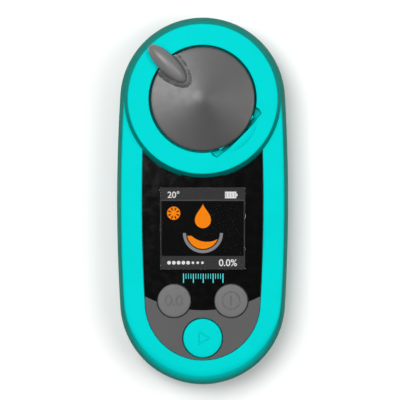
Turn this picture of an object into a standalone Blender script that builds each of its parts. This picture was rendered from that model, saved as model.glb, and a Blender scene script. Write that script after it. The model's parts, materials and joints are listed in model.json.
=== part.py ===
"""Handheld digital refractometer for liquids, lying on its back.

Every size is in millimetres until a mesh is finished, when it is scaled to metres. +Z comes out of the
display, +Y points to the sample well at the head, and Z = 0 is the flat back.
"""

import math

import bmesh
import bpy
from mathutils import Matrix, Vector

MM = 0.001

# Fits
GAP = 0.3                     # air between neighbouring pieces
HOLE_OVERCUT = 1.0            # how far a cutter runs past the face it opens

# Case outline
BODY_LENGTH = 120.0
BODY_WIDTH = 56.0
SIDE_BULGE = 1.0              # how much wider the middle is than the round ends
WALL = 2.4
REAR_HEIGHT = 12.0            # height of the seam above the back
FLOOR = 2.0
SEAL_WIDTH = 0.5
SEAL_INSET = 0.95
SEAL_HEIGHT = 1.1

# Battery bay
CELL_DIAMETER = 10.5
CELL_LENGTH = 44.5
CELL_NUB_RADIUS = 1.9
CELL_NUB_LENGTH = 1.0
CELL_AIR = 0.5                # between the two cells
CELL_REST = 0.4               # between the cells and the shut door
CELL_SIDE_AIR = 0.55          # between the cells and the bay's sides
DOOR_RECESS = 0.3
DOOR_THICKNESS = 1.6
DOOR_LEDGE = 0.7
DOOR_CORNER = 2.0
BAY_WALL = 1.9
BAY_CEILING = 1.0
BAY_FROM_FOOT = 9.7
SPRING_LENGTH = 4.3
SPRING_RADIUS = 3.3
SPRING_TAPER = 1.1
SPRING_WIRE = 0.35
SPRING_TURNS = 3.25
CONTACT_THICKNESS = 0.4
CONTACT_TAB_HALF = 1.0
DOOR_KNUCKLE = 1.0
DOOR_PIN = 0.35

# Circuit board and display
BOARD_THICKNESS = 1.0
BOARD_INSET = 6.5
BOARD_FROM_FOOT = 9.5
BOARD_FROM_OPTICS = 0.5
BACKLIGHT_THICKNESS = 1.8
LCD_THICKNESS = 1.6
LCD_WIDTH = 31.4
LCD_LENGTH = 32.6
LCD_FROM_FOOT = 51.5
LCD_OPENING_AIR = 0.5
LCD_AIR = 0.6                 # air between display and window
WINDOW_THICKNESS = 0.8
WINDOW_SINK = 0.1             # how far the window lies below the face around it
PANEL_INSET = 7.9
KEY_ARC_FROM_FOOT = 65.6
KEY_ARC_RADIUS = 41.1
ROOF_THICKNESS = 1.6          # case wall under the window
FILM_HALF = 5.0
FILM_THICKNESS = 0.25
RIBBON_INNER_X = 13.0
RIBBON_OUTER_X = 15.7
RIBBON_DROP = 1.2
SOCKET_HEIGHT = 1.1

# Keys
SIDE_KEY_X = 9.25
SIDE_KEY_FROM_FOOT = 27.6
SIDE_KEY_RADIUS = 5.4
START_KEY_FROM_FOOT = 15.5
START_KEY_RADIUS = 6.35
KEY_FLANGE = 1.2
KEY_FLANGE_THICKNESS = 0.7
KEY_RISE = 0.9                # key top above the window
KEY_TRAVEL = 0.5
SWITCH_SIDE = 5.2

# Sample well and its collar
COLLAR_RISE = 3.0
COLLAR_TOP_RADIUS = 24.4
COLLAR_FLARE = 1.3            # how much wider the collar's base is
COLLAR_EDGE = 2.6             # from the collar's top edge to the end of the head
WELL_RADIUS = 17.4
WELL_DEPTH = 4.4
WELL_BOSS_WALL = 2.6
WELL_BOSS_DEPTH = 2.4
DISH_FLANGE_RADIUS = 12.8
DISH_FLANGE_WIDTH = 2.0
DISH_FLANGE_THICKNESS = 0.6
DISH_THROAT_RADIUS = 4.7
DISH_DEPTH = 3.9
DISH_THICKNESS = 0.8
GASKET_THICKNESS = 0.5

# Lid
LID_AIR = 0.5                 # between the lid's edge and the well's wall
LID_UNDERSIDE = 1.4           # below the collar's face
LID_RIM = 0.65                # above the collar's face
LID_APEX = 3.0
LID_POCKET_DEPTH = 0.4
LID_SEAL_HEIGHT = 1.1
HINGE_INSET = 1.7             # hinge axis inside the lid's edge
HINGE_DROP = 1.1              # hinge axis below the collar's face
HINGE_PIN = 0.45
HINGE_BARREL = 1.25           # radius of the lid's barrel and of the ears beside it
HINGE_BARREL_HALF = 5.8
HINGE_EAR_WIDTH = 1.5
SCOOP_RADIUS = 3.8
SCOOP_HALF = 6.2
SCOOP_END_RADIUS = 2.75
SCOOP_END_HALF = 9.8
GRIP_REACH = 16.2
GRIP_HALF_LENGTH = 8.5
GRIP_HALF_WIDTH = 3.15
GRIP_HALF_HEIGHT = 3.3
GRIP_BELOW_CENTRE = 0.85
GRIP_MOAT = 1.1
GRIP_SCREW_REACH = 9.8

# Optics
PRISM_HALF_WIDTH = 6.0
PRISM_HALF_DEPTH = 5.0
PRISM_FOOT_HALF = 3.0
PRISM_HEIGHT = 8.2
PRISM_BAND = 0.7
PRISM_SEAL_HEIGHT = 0.7
CHASSIS_HALF_LENGTH = 19.0
CHASSIS_HALF_WIDTH = 8.0
CHASSIS_WALL = 1.5
CHASSIS_HEIGHT = 12.2
CHASSIS_ROOF = 2.9
COVER_THICKNESS = 1.2
COVER_LIP = 0.6
BEAM_DROP = 7.4               # beam below the chassis roof
LENS_X = 9.5
LENS_RADIUS = 3.3
LENS_HALF_THICKNESS = 1.1
RIB_HALF = 1.5
SMALL_BOARD = 1.0
LED_RADIUS = 1.5
EAR_X = 7.0
EAR_Y = 11.3
EAR_HALF = 2.6
EAR_THICKNESS = 1.9

# Fasteners
CASE_SCREW_RADIUS = 1.0
CASE_SCREW_HEAD = 1.9
CASE_HEAD_HEIGHT = 1.5
CASE_BOSS_RADIUS = 3.3
CASE_SCREW_SHELF = 5.8
FOOT_BOSS_FROM_BAY = 4.8
FOOT_BOSS_FROM_FOOT = 22.0
HEAD_BOSS_REACH = 14.5        # along X and Y from the well's centre
BOARD_POST_FROM_LCD = 3.2
BOARD_POST_FROM_EDGE = 8.1
BOARD_POST_RADIUS = 2.4
SMALL_SCREW_RADIUS = 0.85
SMALL_SCREW_HEAD = 1.6
SMALL_HEAD_HEIGHT = 1.1

# Mesh fineness
END_STEPS = 18
SIDE_STEPS = 4
ROUND = 24
FINE_ROUND = 48

# Worked-out plan
HALF_WIDTH = BODY_WIDTH / 2
END_RADIUS = HALF_WIDTH - SIDE_BULGE
END_CENTRE = BODY_LENGTH / 2 - END_RADIUS
SIDE_RADIUS = (HALF_WIDTH**2 + END_CENTRE**2 - END_RADIUS**2) / (2 * SIDE_BULGE)
SIDE_TILT = math.atan2(END_CENTRE, SIDE_RADIUS - HALF_WIDTH)
FOOT_Y = -BODY_LENGTH / 2
WELL_Y = BODY_LENGTH / 2 - COLLAR_TOP_RADIUS - COLLAR_EDGE
COLLAR_BASE_RADIUS = COLLAR_TOP_RADIUS + COLLAR_FLARE
WELL_BOSS_RADIUS = WELL_RADIUS + WELL_BOSS_WALL
DISH_MOUTH_RADIUS = DISH_FLANGE_RADIUS - DISH_FLANGE_WIDTH
LID_RADIUS = WELL_RADIUS - LID_AIR
LID_POCKET_RADIUS = DISH_FLANGE_RADIUS + 0.1
HINGE_REACH = LID_RADIUS - HINGE_INSET
LCD_CENTRE_Y = FOOT_Y + LCD_FROM_FOOT
KEY_ARC_CENTRE_Y = FOOT_Y + KEY_ARC_FROM_FOOT
BOARD_FOOT_Y = FOOT_Y + BOARD_FROM_FOOT
BOARD_HEAD_Y = WELL_Y - EAR_Y - EAR_HALF - BOARD_FROM_OPTICS
BOARD_POST = (LCD_WIDTH / 2 + BOARD_POST_FROM_LCD, BOARD_HEAD_Y - BOARD_POST_FROM_EDGE)
HINGE_TURN = -math.pi / 4     # direction from the well's centre to the lid hinge
HINGE_OUT = Vector((math.cos(HINGE_TURN), math.sin(HINGE_TURN), 0))

# Worked-out heights, from the back up to the grip
DOOR_OUT_Z = DOOR_RECESS
DOOR_IN_Z = DOOR_OUT_Z + DOOR_THICKNESS
BAY_LEDGE_Z = DOOR_IN_Z + GAP
CELL_Z = DOOR_IN_Z + CELL_REST + CELL_DIAMETER / 2
BAY_ROOF_Z = CELL_Z + CELL_DIAMETER / 2 + GAP
BAY_TOP_Z = BAY_ROOF_Z + BAY_CEILING
BOARD_Z = BAY_TOP_Z + GAP
BOARD_TOP_Z = BOARD_Z + BOARD_THICKNESS
BACKLIGHT_Z = BOARD_TOP_Z + 0.4
LCD_Z = BACKLIGHT_Z + BACKLIGHT_THICKNESS + GAP
LCD_TOP_Z = LCD_Z + LCD_THICKNESS
WINDOW_Z = LCD_TOP_Z + LCD_AIR
WINDOW_TOP_Z = WINDOW_Z + WINDOW_THICKNESS
RECESS_Z = WINDOW_Z - GAP
ROOF_Z = RECESS_Z - ROOF_THICKNESS
FACE_Z = WINDOW_TOP_Z + WINDOW_SINK
FRONT_Z = REAR_HEIGHT + GAP
COLLAR_Z = FACE_Z + COLLAR_RISE
WELL_FLOOR_Z = COLLAR_Z - WELL_DEPTH
WELL_BOSS_Z = WELL_FLOOR_Z - WELL_BOSS_DEPTH
GASKET_Z = WELL_FLOOR_Z + GAP
FLANGE_Z = GASKET_Z + GASKET_THICKNESS + GAP
FLANGE_TOP_Z = FLANGE_Z + DISH_FLANGE_THICKNESS
THROAT_Z = FLANGE_TOP_Z - DISH_DEPTH
DISH_FOOT_Z = THROAT_Z - DISH_THICKNESS
PRISM_TOP_Z = THROAT_Z - 0.2
PRISM_SEAL_Z = DISH_FOOT_Z - GAP - PRISM_SEAL_HEIGHT
PRISM_SHOULDER_Z = PRISM_SEAL_Z - GAP
CHASSIS_TOP_Z = WELL_BOSS_Z - GAP
CHASSIS_Z = CHASSIS_TOP_Z - CHASSIS_HEIGHT
CHASSIS_ROOF_Z = CHASSIS_TOP_Z - CHASSIS_ROOF
BEAM_Z = CHASSIS_TOP_Z - BEAM_DROP
COVER_Z = CHASSIS_Z - GAP - COVER_THICKNESS
HINGE_Z = COLLAR_Z - HINGE_DROP
LID_Z = COLLAR_Z - LID_UNDERSIDE
LID_RIM_Z = COLLAR_Z + LID_RIM
LID_POCKET_Z = LID_Z + LID_POCKET_DEPTH
GRIP_FLOOR_Z = COLLAR_Z + GAP + 0.05
GRIP_Z = GRIP_FLOOR_Z + GRIP_BELOW_CENTRE

# Worked-out battery bay
CELL_PITCH = CELL_DIAMETER + CELL_AIR
BAY_FOOT_Y = FOOT_Y + BAY_FROM_FOOT
BAY_HALF = CELL_PITCH / 2 + CELL_DIAMETER / 2 + CELL_SIDE_AIR
FOOT_BOSS = (BAY_HALF + BAY_WALL + FOOT_BOSS_FROM_BAY, FOOT_Y + FOOT_BOSS_FROM_FOOT)
BAY_LENGTH = CELL_LENGTH + SPRING_LENGTH + 2 * CONTACT_THICKNESS + 5 * GAP
BAY_HEAD_Y = BAY_FOOT_Y + BAY_LENGTH
DOOR_AXIS_Y = BAY_HEAD_Y + 0.2
DOOR_AXIS_Z = DOOR_OUT_Z + DOOR_KNUCKLE
DOOR_HALF = BAY_HALF + DOOR_LEDGE - GAP
DOOR_FOOT_Y = BAY_FOOT_Y - DOOR_LEDGE + 0.1

HINGE_PIN_HALF = HINGE_BARREL_HALF + GAP + HINGE_EAR_WIDTH
HINGE_POINT = Vector((0, WELL_Y, HINGE_Z)) + HINGE_REACH * HINGE_OUT
GRIP_POINT = Vector((0, WELL_Y, GRIP_Z)) - GRIP_REACH * HINGE_OUT

FINISHES = {
    "teal_plastic": ((0.0, 0.70, 0.66), 0.42, 0.0),
    "grey_plastic": ((0.14, 0.14, 0.14), 0.5, 0.0),
    "light_grey_plastic": ((0.28, 0.28, 0.28), 0.45, 0.0),
    "key_grey": ((0.20, 0.20, 0.20), 0.55, 0.0),
    "black_gloss": ((0.006, 0.006, 0.006), 0.12, 0.0),
    "black_plastic": ((0.02, 0.02, 0.02), 0.6, 0.0),
    "black_rubber": ((0.015, 0.015, 0.015), 0.8, 0.0),
    "clear_glass": ((0.85, 0.90, 0.92), 0.05, 0.0),
    "white_plastic": ((0.75, 0.75, 0.73), 0.5, 0.0),
    "board_green": ((0.01, 0.12, 0.05), 0.45, 0.0),
    "stainless": ((0.60, 0.60, 0.58), 0.22, 1.0),
    "spring_steel": ((0.55, 0.54, 0.50), 0.3, 1.0),
    "zinc_screw": ((0.45, 0.45, 0.44), 0.35, 1.0),
    "copper_film": ((0.55, 0.28, 0.05), 0.4, 0.0),
    "cell_sleeve": ((0.03, 0.05, 0.12), 0.35, 0.3),
}

MANY_CUTS = ("front_case", "rear_case", "lid")


def clear_scene():
    for old in list(bpy.data.objects):
        bpy.data.objects.remove(old, do_unlink=True)


def finish_material(name):
    found = bpy.data.materials.get(name)
    if found:
        return found
    colour, roughness, metallic = FINISHES[name]
    made = bpy.data.materials.new(name)
    made.use_nodes = True
    shader = made.node_tree.nodes["Principled BSDF"]
    shader.inputs["Base Color"].default_value = (*colour, 1)
    shader.inputs["Roughness"].default_value = roughness
    shader.inputs["Metallic"].default_value = metallic
    made.diffuse_color = (*colour, 1)
    return made


def piece(name, bm, finish, pivot=None):
    """A named object from a mesh in millimetres, hung on its pivot where it moves."""
    bmesh.ops.recalc_face_normals(bm, faces=bm.faces)
    mesh = bpy.data.meshes.new(name)
    bm.to_mesh(mesh)
    bm.free()
    mesh.transform(Matrix.Scale(MM, 4))
    mesh.materials.append(finish_material(finish))
    mesh.shade_smooth()
    mesh.set_sharp_from_angle(angle=math.radians(35))
    made = bpy.data.objects.new(name, mesh)
    bpy.context.scene.collection.objects.link(made)
    if pivot:
        mesh.transform(Matrix.Translation(-pivot.location))
        made.parent = pivot
    return made


def pivot_empty(name, place):
    made = bpy.data.objects.new(name, None)
    made.empty_display_size = 0.01
    made.location = Vector(place) * MM
    bpy.context.scene.collection.objects.link(made)
    return made


def combine(target, operation, *shapes):
    """Joins guide shapes to the target, or cuts them out of it, one after another.

    The exact solver leaves open edges on the pieces with many round cuts in one flat face, so those
    pieces use the manifold solver.
    """
    solver = "MANIFOLD" if target.name in MANY_CUTS else "EXACT"
    for number, shape in enumerate(shapes):
        guide = shape
        if isinstance(shape, bmesh.types.BMesh):
            guide = piece(f"guide_{target.name}_{len(target.modifiers)}_{number}", shape, "black_plastic")
        guide.hide_render = True
        guide.display_type = "WIRE"
        step = target.modifiers.new(f"{operation}_{number}", "BOOLEAN")
        step.operation = operation
        step.solver = solver
        if guide.parent is None and target.parent is not None:
            guide.data.transform(Matrix.Translation(-target.parent.location))
            guide.parent = target.parent
        step.object = guide
    return target


# Shapes


def loft(rings, wrap=False):
    bm = bmesh.new()
    loops = [[bm.verts.new(point) for point in ring] for ring in rings]
    pairs = list(zip(loops, loops[1:]))
    if wrap:
        pairs.append((loops[-1], loops[0]))
    for lower, upper in pairs:
        for here, there in zip(range(len(lower)), [*range(1, len(lower)), 0]):
            bm.faces.new((lower[here], lower[there], upper[there], upper[here]))
    if not wrap:
        bm.faces.new(loops[0][::-1])
        bm.faces.new(loops[-1])
    return bm


def turned(profile, place=None, steps=ROUND, wrap=False):
    """A solid turned about Z from (radius, height) points, then moved by a matrix."""
    bm = bmesh.new()
    loops = []
    for radius, height in profile:
        if radius == 0:
            loops.append([bm.verts.new((0, 0, height))] * steps)
            continue
        turns = [2 * math.pi * k / steps for k in range(steps)]
        loops.append([bm.verts.new((radius * math.cos(t), radius * math.sin(t), height)) for t in turns])
    pairs = list(zip(loops, loops[1:]))
    if wrap:
        pairs.append((loops[-1], loops[0]))
    for lower, upper in pairs:
        for here, there in zip(range(steps), [*range(1, steps), 0]):
            corners = (lower[here], lower[there], upper[there], upper[here])
            bm.faces.new(list(dict.fromkeys(corners)))
    if place:
        bm.transform(place)
    return bm


def rod(radius, start, stop, place=None, steps=ROUND):
    return turned([(0, start), (radius, start), (radius, stop), (0, stop)], place, steps)


def ring_of(inner, outer, start, stop, place=None, steps=ROUND):
    profile = [(inner, start), (outer, start), (outer, stop), (inner, stop)]
    return turned(profile, place, steps, wrap=True)


def rectangle(half_x, half_y, z, centre=(0, 0)):
    corners = [(-1, -1), (1, -1), (1, 1), (-1, 1)]
    return [(centre[0] + sx * half_x, centre[1] + sy * half_y, z) for sx, sy in corners]


def block(x0, x1, y0, y1, z0, z1):
    centre = ((x0 + x1) / 2, (y0 + y1) / 2)
    half_x = (x1 - x0) / 2
    half_y = (y1 - y0) / 2
    return loft([rectangle(half_x, half_y, z, centre) for z in (z0, z1)])


def rounded_rectangle(x0, x1, y0, y1, radius, z, steps=6):
    points = []
    corners = [(x1, y1, 0), (x0, y1, 1), (x0, y0, 2), (x1, y0, 3)]
    for x, y, quarter in corners:
        centre_x = x - math.copysign(radius, x - (x0 + x1) / 2)
        centre_y = y - math.copysign(radius, y - (y0 + y1) / 2)
        for k in range(steps + 1):
            turn = (quarter + k / steps) * math.pi / 2
            points.append((centre_x + radius * math.cos(turn), centre_y + radius * math.sin(turn), z))
    return points


def ribbon(path, x0, x1, thickness):
    """A thin strip of film, as wide as x0 to x1, bent along a path of (y, z) points."""
    rings = []
    for index, (y, z) in enumerate(path):
        before = Vector(path[max(index - 1, 0)])
        after = Vector(path[min(index + 1, len(path) - 1)])
        along = (after - before).normalized()
        side = Vector((-along.y, along.x)) * thickness / 2
        low = (y - side.x, z - side.y)
        high = (y + side.x, z + side.y)
        rings.append([(x0, *low), (x1, *low), (x1, *high), (x0, *high)])
    return loft(rings)


def coil(radius_start, radius_end, wire, turns, length, place, per_turn=12, sides=5):
    """A cone-shaped compression spring that rises along Z."""
    rings = []
    count = int(turns * per_turn)
    for step in range(count + 1):
        share = step / count
        turn = 2 * math.pi * turns * share
        radius = radius_start + (radius_end - radius_start) * share
        out = Vector((math.cos(turn), math.sin(turn), 0))
        centre = out * radius + Vector((0, 0, wire + (length - 2 * wire) * share))
        spots = [2 * math.pi * k / sides for k in range(sides)]
        rings.append([centre + wire * (out * math.cos(a) + Vector((0, 0, math.sin(a)))) for a in spots])
    bm = loft(rings)
    bm.transform(place)
    return bm


def at(x, y, z=0.0):
    return Matrix.Translation((x, y, z))


def along_x(x, y, z):
    return at(x, y, z) @ Matrix.Rotation(math.pi / 2, 4, "Y")


def along_y(x, y, z):
    return at(x, y, z) @ Matrix.Rotation(-math.pi / 2, 4, "X")


def along_hinge():
    turn = Matrix.Rotation(HINGE_TURN + math.pi / 2, 4, "Z")
    return Matrix.Translation(HINGE_POINT) @ turn @ Matrix.Rotation(math.pi / 2, 4, "Y")


# Case outline


def outline_points():
    """Points of the outline with their outward normals, counter-clockwise."""
    tilt = SIDE_TILT
    side_x = HALF_WIDTH - SIDE_RADIUS
    arcs = [
        (side_x, 0, SIDE_RADIUS, -tilt, tilt, SIDE_STEPS),
        (0, END_CENTRE, END_RADIUS, tilt, math.pi - tilt, END_STEPS),
        (-side_x, 0, SIDE_RADIUS, math.pi - tilt, math.pi + tilt, SIDE_STEPS),
        (0, -END_CENTRE, END_RADIUS, math.pi + tilt, 2 * math.pi - tilt, END_STEPS),
    ]
    for x, y, radius, start, stop, steps in arcs:
        for k in range(steps):
            turn = start + (stop - start) * k / steps
            normal = Vector((math.cos(turn), math.sin(turn)))
            yield Vector((x, y)) + radius * normal, normal


def case_ring(inset, z, foot_inset=0.0):
    """The outline drawn in by an inset, which grows by foot_inset towards the foot."""
    ring = []
    for point, normal in outline_points():
        share = min(max((-point.y - BODY_LENGTH / 4) / (BODY_LENGTH / 4), 0), 1)
        blend = share * share * (3 - 2 * share)
        moved = point - normal * (inset + foot_inset * blend)
        ring.append((moved.x, moved.y, z))
    return ring


def outline_band(inset, width, z0, z1):
    corners = [(inset, z0), (inset, z1), (inset + width, z1), (inset + width, z0)]
    return loft([case_ring(edge, z) for edge, z in corners], wrap=True)


def seal_groove():
    middle = REAR_HEIGHT + GAP / 2
    half = SEAL_HEIGHT / 2 + GAP
    return outline_band(SEAL_INSET - GAP, SEAL_WIDTH + 2 * GAP, middle - half, middle + half)


def boss_places():
    foot = [(side * FOOT_BOSS[0], FOOT_BOSS[1]) for side in (-1, 1)]
    head = [(side * HEAD_BOSS_REACH, WELL_Y + HEAD_BOSS_REACH) for side in (-1, 1)]
    return foot + head


def board_post_places():
    return [(side * BOARD_POST[0], BOARD_POST[1]) for side in (-1, 1)]


def key_places():
    return {
        "zero": (-SIDE_KEY_X, FOOT_Y + SIDE_KEY_FROM_FOOT, SIDE_KEY_RADIUS, "key_grey"),
        "power": (SIDE_KEY_X, FOOT_Y + SIDE_KEY_FROM_FOOT, SIDE_KEY_RADIUS, "key_grey"),
        "start": (0, FOOT_Y + START_KEY_FROM_FOOT, START_KEY_RADIUS, "teal_plastic"),
    }


def key_holes(z0, z1):
    return [rod(radius + GAP, z0, z1, at(x, y)) for x, y, radius, _ in key_places().values()]


# Case


def make_front_case():
    skirt_z = FACE_Z - 2.8
    outer = loft([
        case_ring(0, FRONT_Z),
        case_ring(0.35, (FRONT_Z + skirt_z) / 2),
        case_ring(0.9, skirt_z, 0.4),
        case_ring(1.4, FACE_Z - 1.4, 1.3),
        case_ring(2.0, FACE_Z - 0.5, 2.4),
        case_ring(2.9, FACE_Z, 3.8),
    ])
    case = piece("front_case", outer, "teal_plastic")
    cavity = loft([
        case_ring(WALL, FRONT_Z - HOLE_OVERCUT),
        case_ring(WALL, ROOF_Z - 1.2),
        case_ring(WALL + 1.0, ROOF_Z, 0.4),
    ])
    combine(case, "DIFFERENCE", cavity)
    rib_top = RECESS_Z - 0.5
    bosses = [rod(CASE_BOSS_RADIUS, FRONT_Z, rib_top, at(x, y), 16) for x, y in boss_places()]
    posts = [
        rod(BOARD_POST_RADIUS, BOARD_TOP_Z + GAP, rib_top, at(x, y), 12)
        for x, y in board_post_places()
    ]
    well_boss = rod(WELL_BOSS_RADIUS, WELL_BOSS_Z, FACE_Z - 0.6, at(0, WELL_Y), 32)
    combine(case, "UNION", well_boss, *bosses, *posts)
    recess = piece("panel_recess_guide", loft([
        case_ring(PANEL_INSET - GAP / 2, RECESS_Z),
        case_ring(PANEL_INSET - GAP / 2, FACE_Z + HOLE_OVERCUT),
    ]), "black_plastic")
    combine(recess, "DIFFERENCE", collar_disc(COLLAR_BASE_RADIUS, RECESS_Z - 2, FACE_Z + 3))
    combine(case, "DIFFERENCE", recess)
    combine(case, "UNION", collar_solid())
    well = at(0, WELL_Y)
    combine(
        case, "DIFFERENCE",
        rod(WELL_RADIUS, WELL_FLOOR_Z, COLLAR_Z + HOLE_OVERCUT, well, FINE_ROUND),
        rod(DISH_MOUTH_RADIUS + 0.5, WELL_BOSS_Z - HOLE_OVERCUT, WELL_FLOOR_Z + 0.5, well, 32),
        scoop(),
        display_opening(),
        *key_holes(ROOF_Z - HOLE_OVERCUT, FACE_Z + HOLE_OVERCUT),
        seal_groove(),
    )
    pilots = [
        rod(CASE_SCREW_RADIUS + GAP, FRONT_Z - HOLE_OVERCUT, case_screw_tip() + GAP, at(x, y), 12)
        for x, y in boss_places()
    ]
    board_pilots = [
        rod(SMALL_SCREW_RADIUS + GAP, BOARD_TOP_Z, board_screw_tip() + GAP, at(x, y), 12)
        for x, y in board_post_places()
    ]
    ear_pilots = [
        rod(SMALL_SCREW_RADIUS + GAP, WELL_BOSS_Z - HOLE_OVERCUT, ear_screw_tip() + GAP, at(x, y), 12)
        for x, y in ear_places()
    ]
    combine(case, "DIFFERENCE", *pilots, *board_pilots, *ear_pilots)
    combine(case, "UNION", *hinge_ears())
    pin_reach = HINGE_PIN_HALF + 1
    combine(case, "DIFFERENCE", rod(HINGE_PIN + GAP, -pin_reach, pin_reach, along_hinge(), 12))


def hinge_ear(radius, start, stop, foot_z, outer):
    """A round eye about the lid's axis with a straight foot, which can reach out past the eye."""
    foot = block(-outer, radius, start, stop, foot_z - HINGE_Z, 0)
    foot.transform(Matrix.Translation(HINGE_POINT) @ Matrix.Rotation(HINGE_TURN + math.pi, 4, "Z"))
    eye = rod(radius, -stop, -start, along_hinge(), 20)
    return eye, foot


def hinge_ears():
    inner = HINGE_BARREL_HALF + GAP
    outer = inner + HINGE_EAR_WIDTH
    shapes = []
    for start, stop in ((inner, outer), (-outer, -inner)):
        shapes.extend(hinge_ear(HINGE_BARREL, start, stop, WELL_FLOOR_Z - 0.5, HINGE_BARREL))
    return shapes


def lid_ear_slots():
    inner = HINGE_BARREL_HALF
    outer = inner + HINGE_EAR_WIDTH + 2 * GAP
    shapes = []
    for start, stop in ((inner, outer), (-outer, -inner)):
        shapes.extend(hinge_ear(HINGE_BARREL + GAP, start, stop, LID_Z - HOLE_OVERCUT, 4.0))
    return shapes


def collar_disc(radius, z0, z1):
    return rod(radius, z0, z1, at(0, WELL_Y), 2 * FINE_ROUND)


def collar_solid():
    base = COLLAR_BASE_RADIUS
    top = COLLAR_TOP_RADIUS
    profile = [
        (0, FACE_Z - 2.1),
        (base, FACE_Z - 2.1),
        (base, FACE_Z - 0.8),
        (base - 0.5, FACE_Z + 0.4),
        (top, COLLAR_Z - 0.6),
        (top - 0.2, COLLAR_Z - 0.2),
        (top - 0.6, COLLAR_Z),
        (0, COLLAR_Z),
    ]
    return turned(profile, at(0, WELL_Y), FINE_ROUND)


def scoop():
    """The hollow in the collar that the lid's tail turns down into."""
    profile = [
        (0, -SCOOP_END_HALF),
        (SCOOP_END_RADIUS, -SCOOP_END_HALF),
        (SCOOP_RADIUS, -SCOOP_HALF),
        (SCOOP_RADIUS, SCOOP_HALF),
        (SCOOP_END_RADIUS, SCOOP_END_HALF),
        (0, SCOOP_END_HALF),
    ]
    return turned(profile, along_hinge(), 36)


def display_opening():
    half_x = LCD_WIDTH / 2 + LCD_OPENING_AIR
    half_y = LCD_LENGTH / 2 + LCD_OPENING_AIR
    shape = piece("display_opening_guide", block(
        -half_x, half_x, LCD_CENTRE_Y - half_y, LCD_CENTRE_Y + half_y, ROOF_Z - HOLE_OVERCUT, FACE_Z,
    ), "black_plastic")
    film_notch = block(
        -FILM_HALF - 1, FILM_HALF + 1, LCD_CENTRE_Y, film_down_y() + 0.6, ROOF_Z - HOLE_OVERCUT, FACE_Z,
    )
    return combine(shape, "UNION", film_notch)


def make_rear_case():
    outer = loft([
        case_ring(3.0, 0),
        case_ring(1.6, 0.5),
        case_ring(0.7, 1.5),
        case_ring(0.25, 3.5),
        case_ring(0, REAR_HEIGHT * 2 / 3),
        case_ring(0, REAR_HEIGHT),
    ])
    case = piece("rear_case", outer, "teal_plastic")
    cavity = loft([
        case_ring(WALL + 1.8, FLOOR),
        case_ring(WALL + 0.4, FLOOR + 1.2),
        case_ring(WALL, FLOOR + 3.0),
        case_ring(WALL, REAR_HEIGHT + HOLE_OVERCUT),
    ])
    combine(case, "DIFFERENCE", cavity)
    bay = block(
        -BAY_HALF - BAY_WALL, BAY_HALF + BAY_WALL,
        BAY_FOOT_Y - BAY_WALL, BAY_HEAD_Y + BAY_WALL + 0.4,
        FLOOR / 2, BAY_TOP_Z,
    )
    bosses = [rod(CASE_BOSS_RADIUS, FLOOR / 2, REAR_HEIGHT, at(x, y), 16) for x, y in boss_places()]
    combine(case, "UNION", bay, *bosses)
    opening = loft([
        rounded_rectangle(
            -DOOR_HALF - GAP, DOOR_HALF + GAP, DOOR_FOOT_Y - GAP, DOOR_AXIS_Y, DOOR_CORNER, z,
        )
        for z in (-HOLE_OVERCUT, BAY_LEDGE_Z)
    ])
    knuckle_room = DOOR_KNUCKLE + GAP
    pin_half = door_pin_half() + GAP
    combine(
        case, "DIFFERENCE",
        block(-BAY_HALF, BAY_HALF, BAY_FOOT_Y, BAY_HEAD_Y, -HOLE_OVERCUT, BAY_ROOF_Z),
        opening,
        block(
            -DOOR_HALF - GAP, DOOR_HALF + GAP, DOOR_AXIS_Y - 3, DOOR_AXIS_Y + knuckle_room,
            -HOLE_OVERCUT, DOOR_AXIS_Z + knuckle_room,
        ),
        rod(DOOR_PIN + GAP, -pin_half, pin_half, along_x(0, DOOR_AXIS_Y, DOOR_AXIS_Z), 12),
        seal_groove(),
    )
    head_room = CASE_SCREW_HEAD + 0.4
    bores = [rod(head_room, -HOLE_OVERCUT, CASE_SCREW_SHELF, at(x, y), 16) for x, y in boss_places()]
    shanks = [
        rod(CASE_SCREW_RADIUS + GAP, CASE_SCREW_SHELF - 0.5, REAR_HEIGHT + HOLE_OVERCUT, at(x, y), 12)
        for x, y in boss_places()
    ]
    tab_slots = [
        block(
            x - CONTACT_TAB_HALF - GAP, x + CONTACT_TAB_HALF + GAP,
            contact_y() - GAP, BAY_HEAD_Y, BAY_ROOF_Z - 1, BAY_TOP_Z + 1,
        )
        for x in (-CELL_PITCH / 2, CELL_PITCH / 2)
    ]
    combine(case, "DIFFERENCE", *bores, *shanks, *tab_slots)


def make_case_seal():
    middle = REAR_HEIGHT + GAP / 2
    half = SEAL_HEIGHT / 2
    piece("case_seal", outline_band(SEAL_INSET, SEAL_WIDTH, middle - half, middle + half), "black_rubber")


# Front panel


def make_display_window():
    inset = PANEL_INSET + GAP / 2
    window = piece("display_window", loft([
        case_ring(inset, WINDOW_Z),
        case_ring(inset, WINDOW_TOP_Z),
    ]), "black_gloss")
    key_arc = rod(KEY_ARC_RADIUS - GAP / 2, WINDOW_Z - 1, WINDOW_TOP_Z + 1, at(0, KEY_ARC_CENTRE_Y), 96)
    combine(window, "DIFFERENCE", collar_disc(COLLAR_BASE_RADIUS + GAP, WINDOW_Z - 1, WINDOW_TOP_Z + 1))
    combine(window, "INTERSECT", key_arc)
    combine(window, "DIFFERENCE", *key_holes(WINDOW_Z - 1, WINDOW_TOP_Z + 1))


def make_keypad_plate():
    inset = PANEL_INSET + GAP / 2
    plate = piece("keypad_plate", loft([
        case_ring(inset, WINDOW_Z),
        case_ring(inset, WINDOW_TOP_Z),
    ]), "grey_plastic")
    key_arc = rod(KEY_ARC_RADIUS + GAP / 2, WINDOW_Z - 1, WINDOW_TOP_Z + 1, at(0, KEY_ARC_CENTRE_Y), 96)
    reach = BODY_LENGTH
    head_side = block(-reach, reach, KEY_ARC_CENTRE_Y, reach, WINDOW_Z - 2, WINDOW_TOP_Z + 2)
    combine(plate, "DIFFERENCE", head_side, key_arc, *key_holes(WINDOW_Z - 1, WINDOW_TOP_Z + 1))


# Display and circuit board


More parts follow.
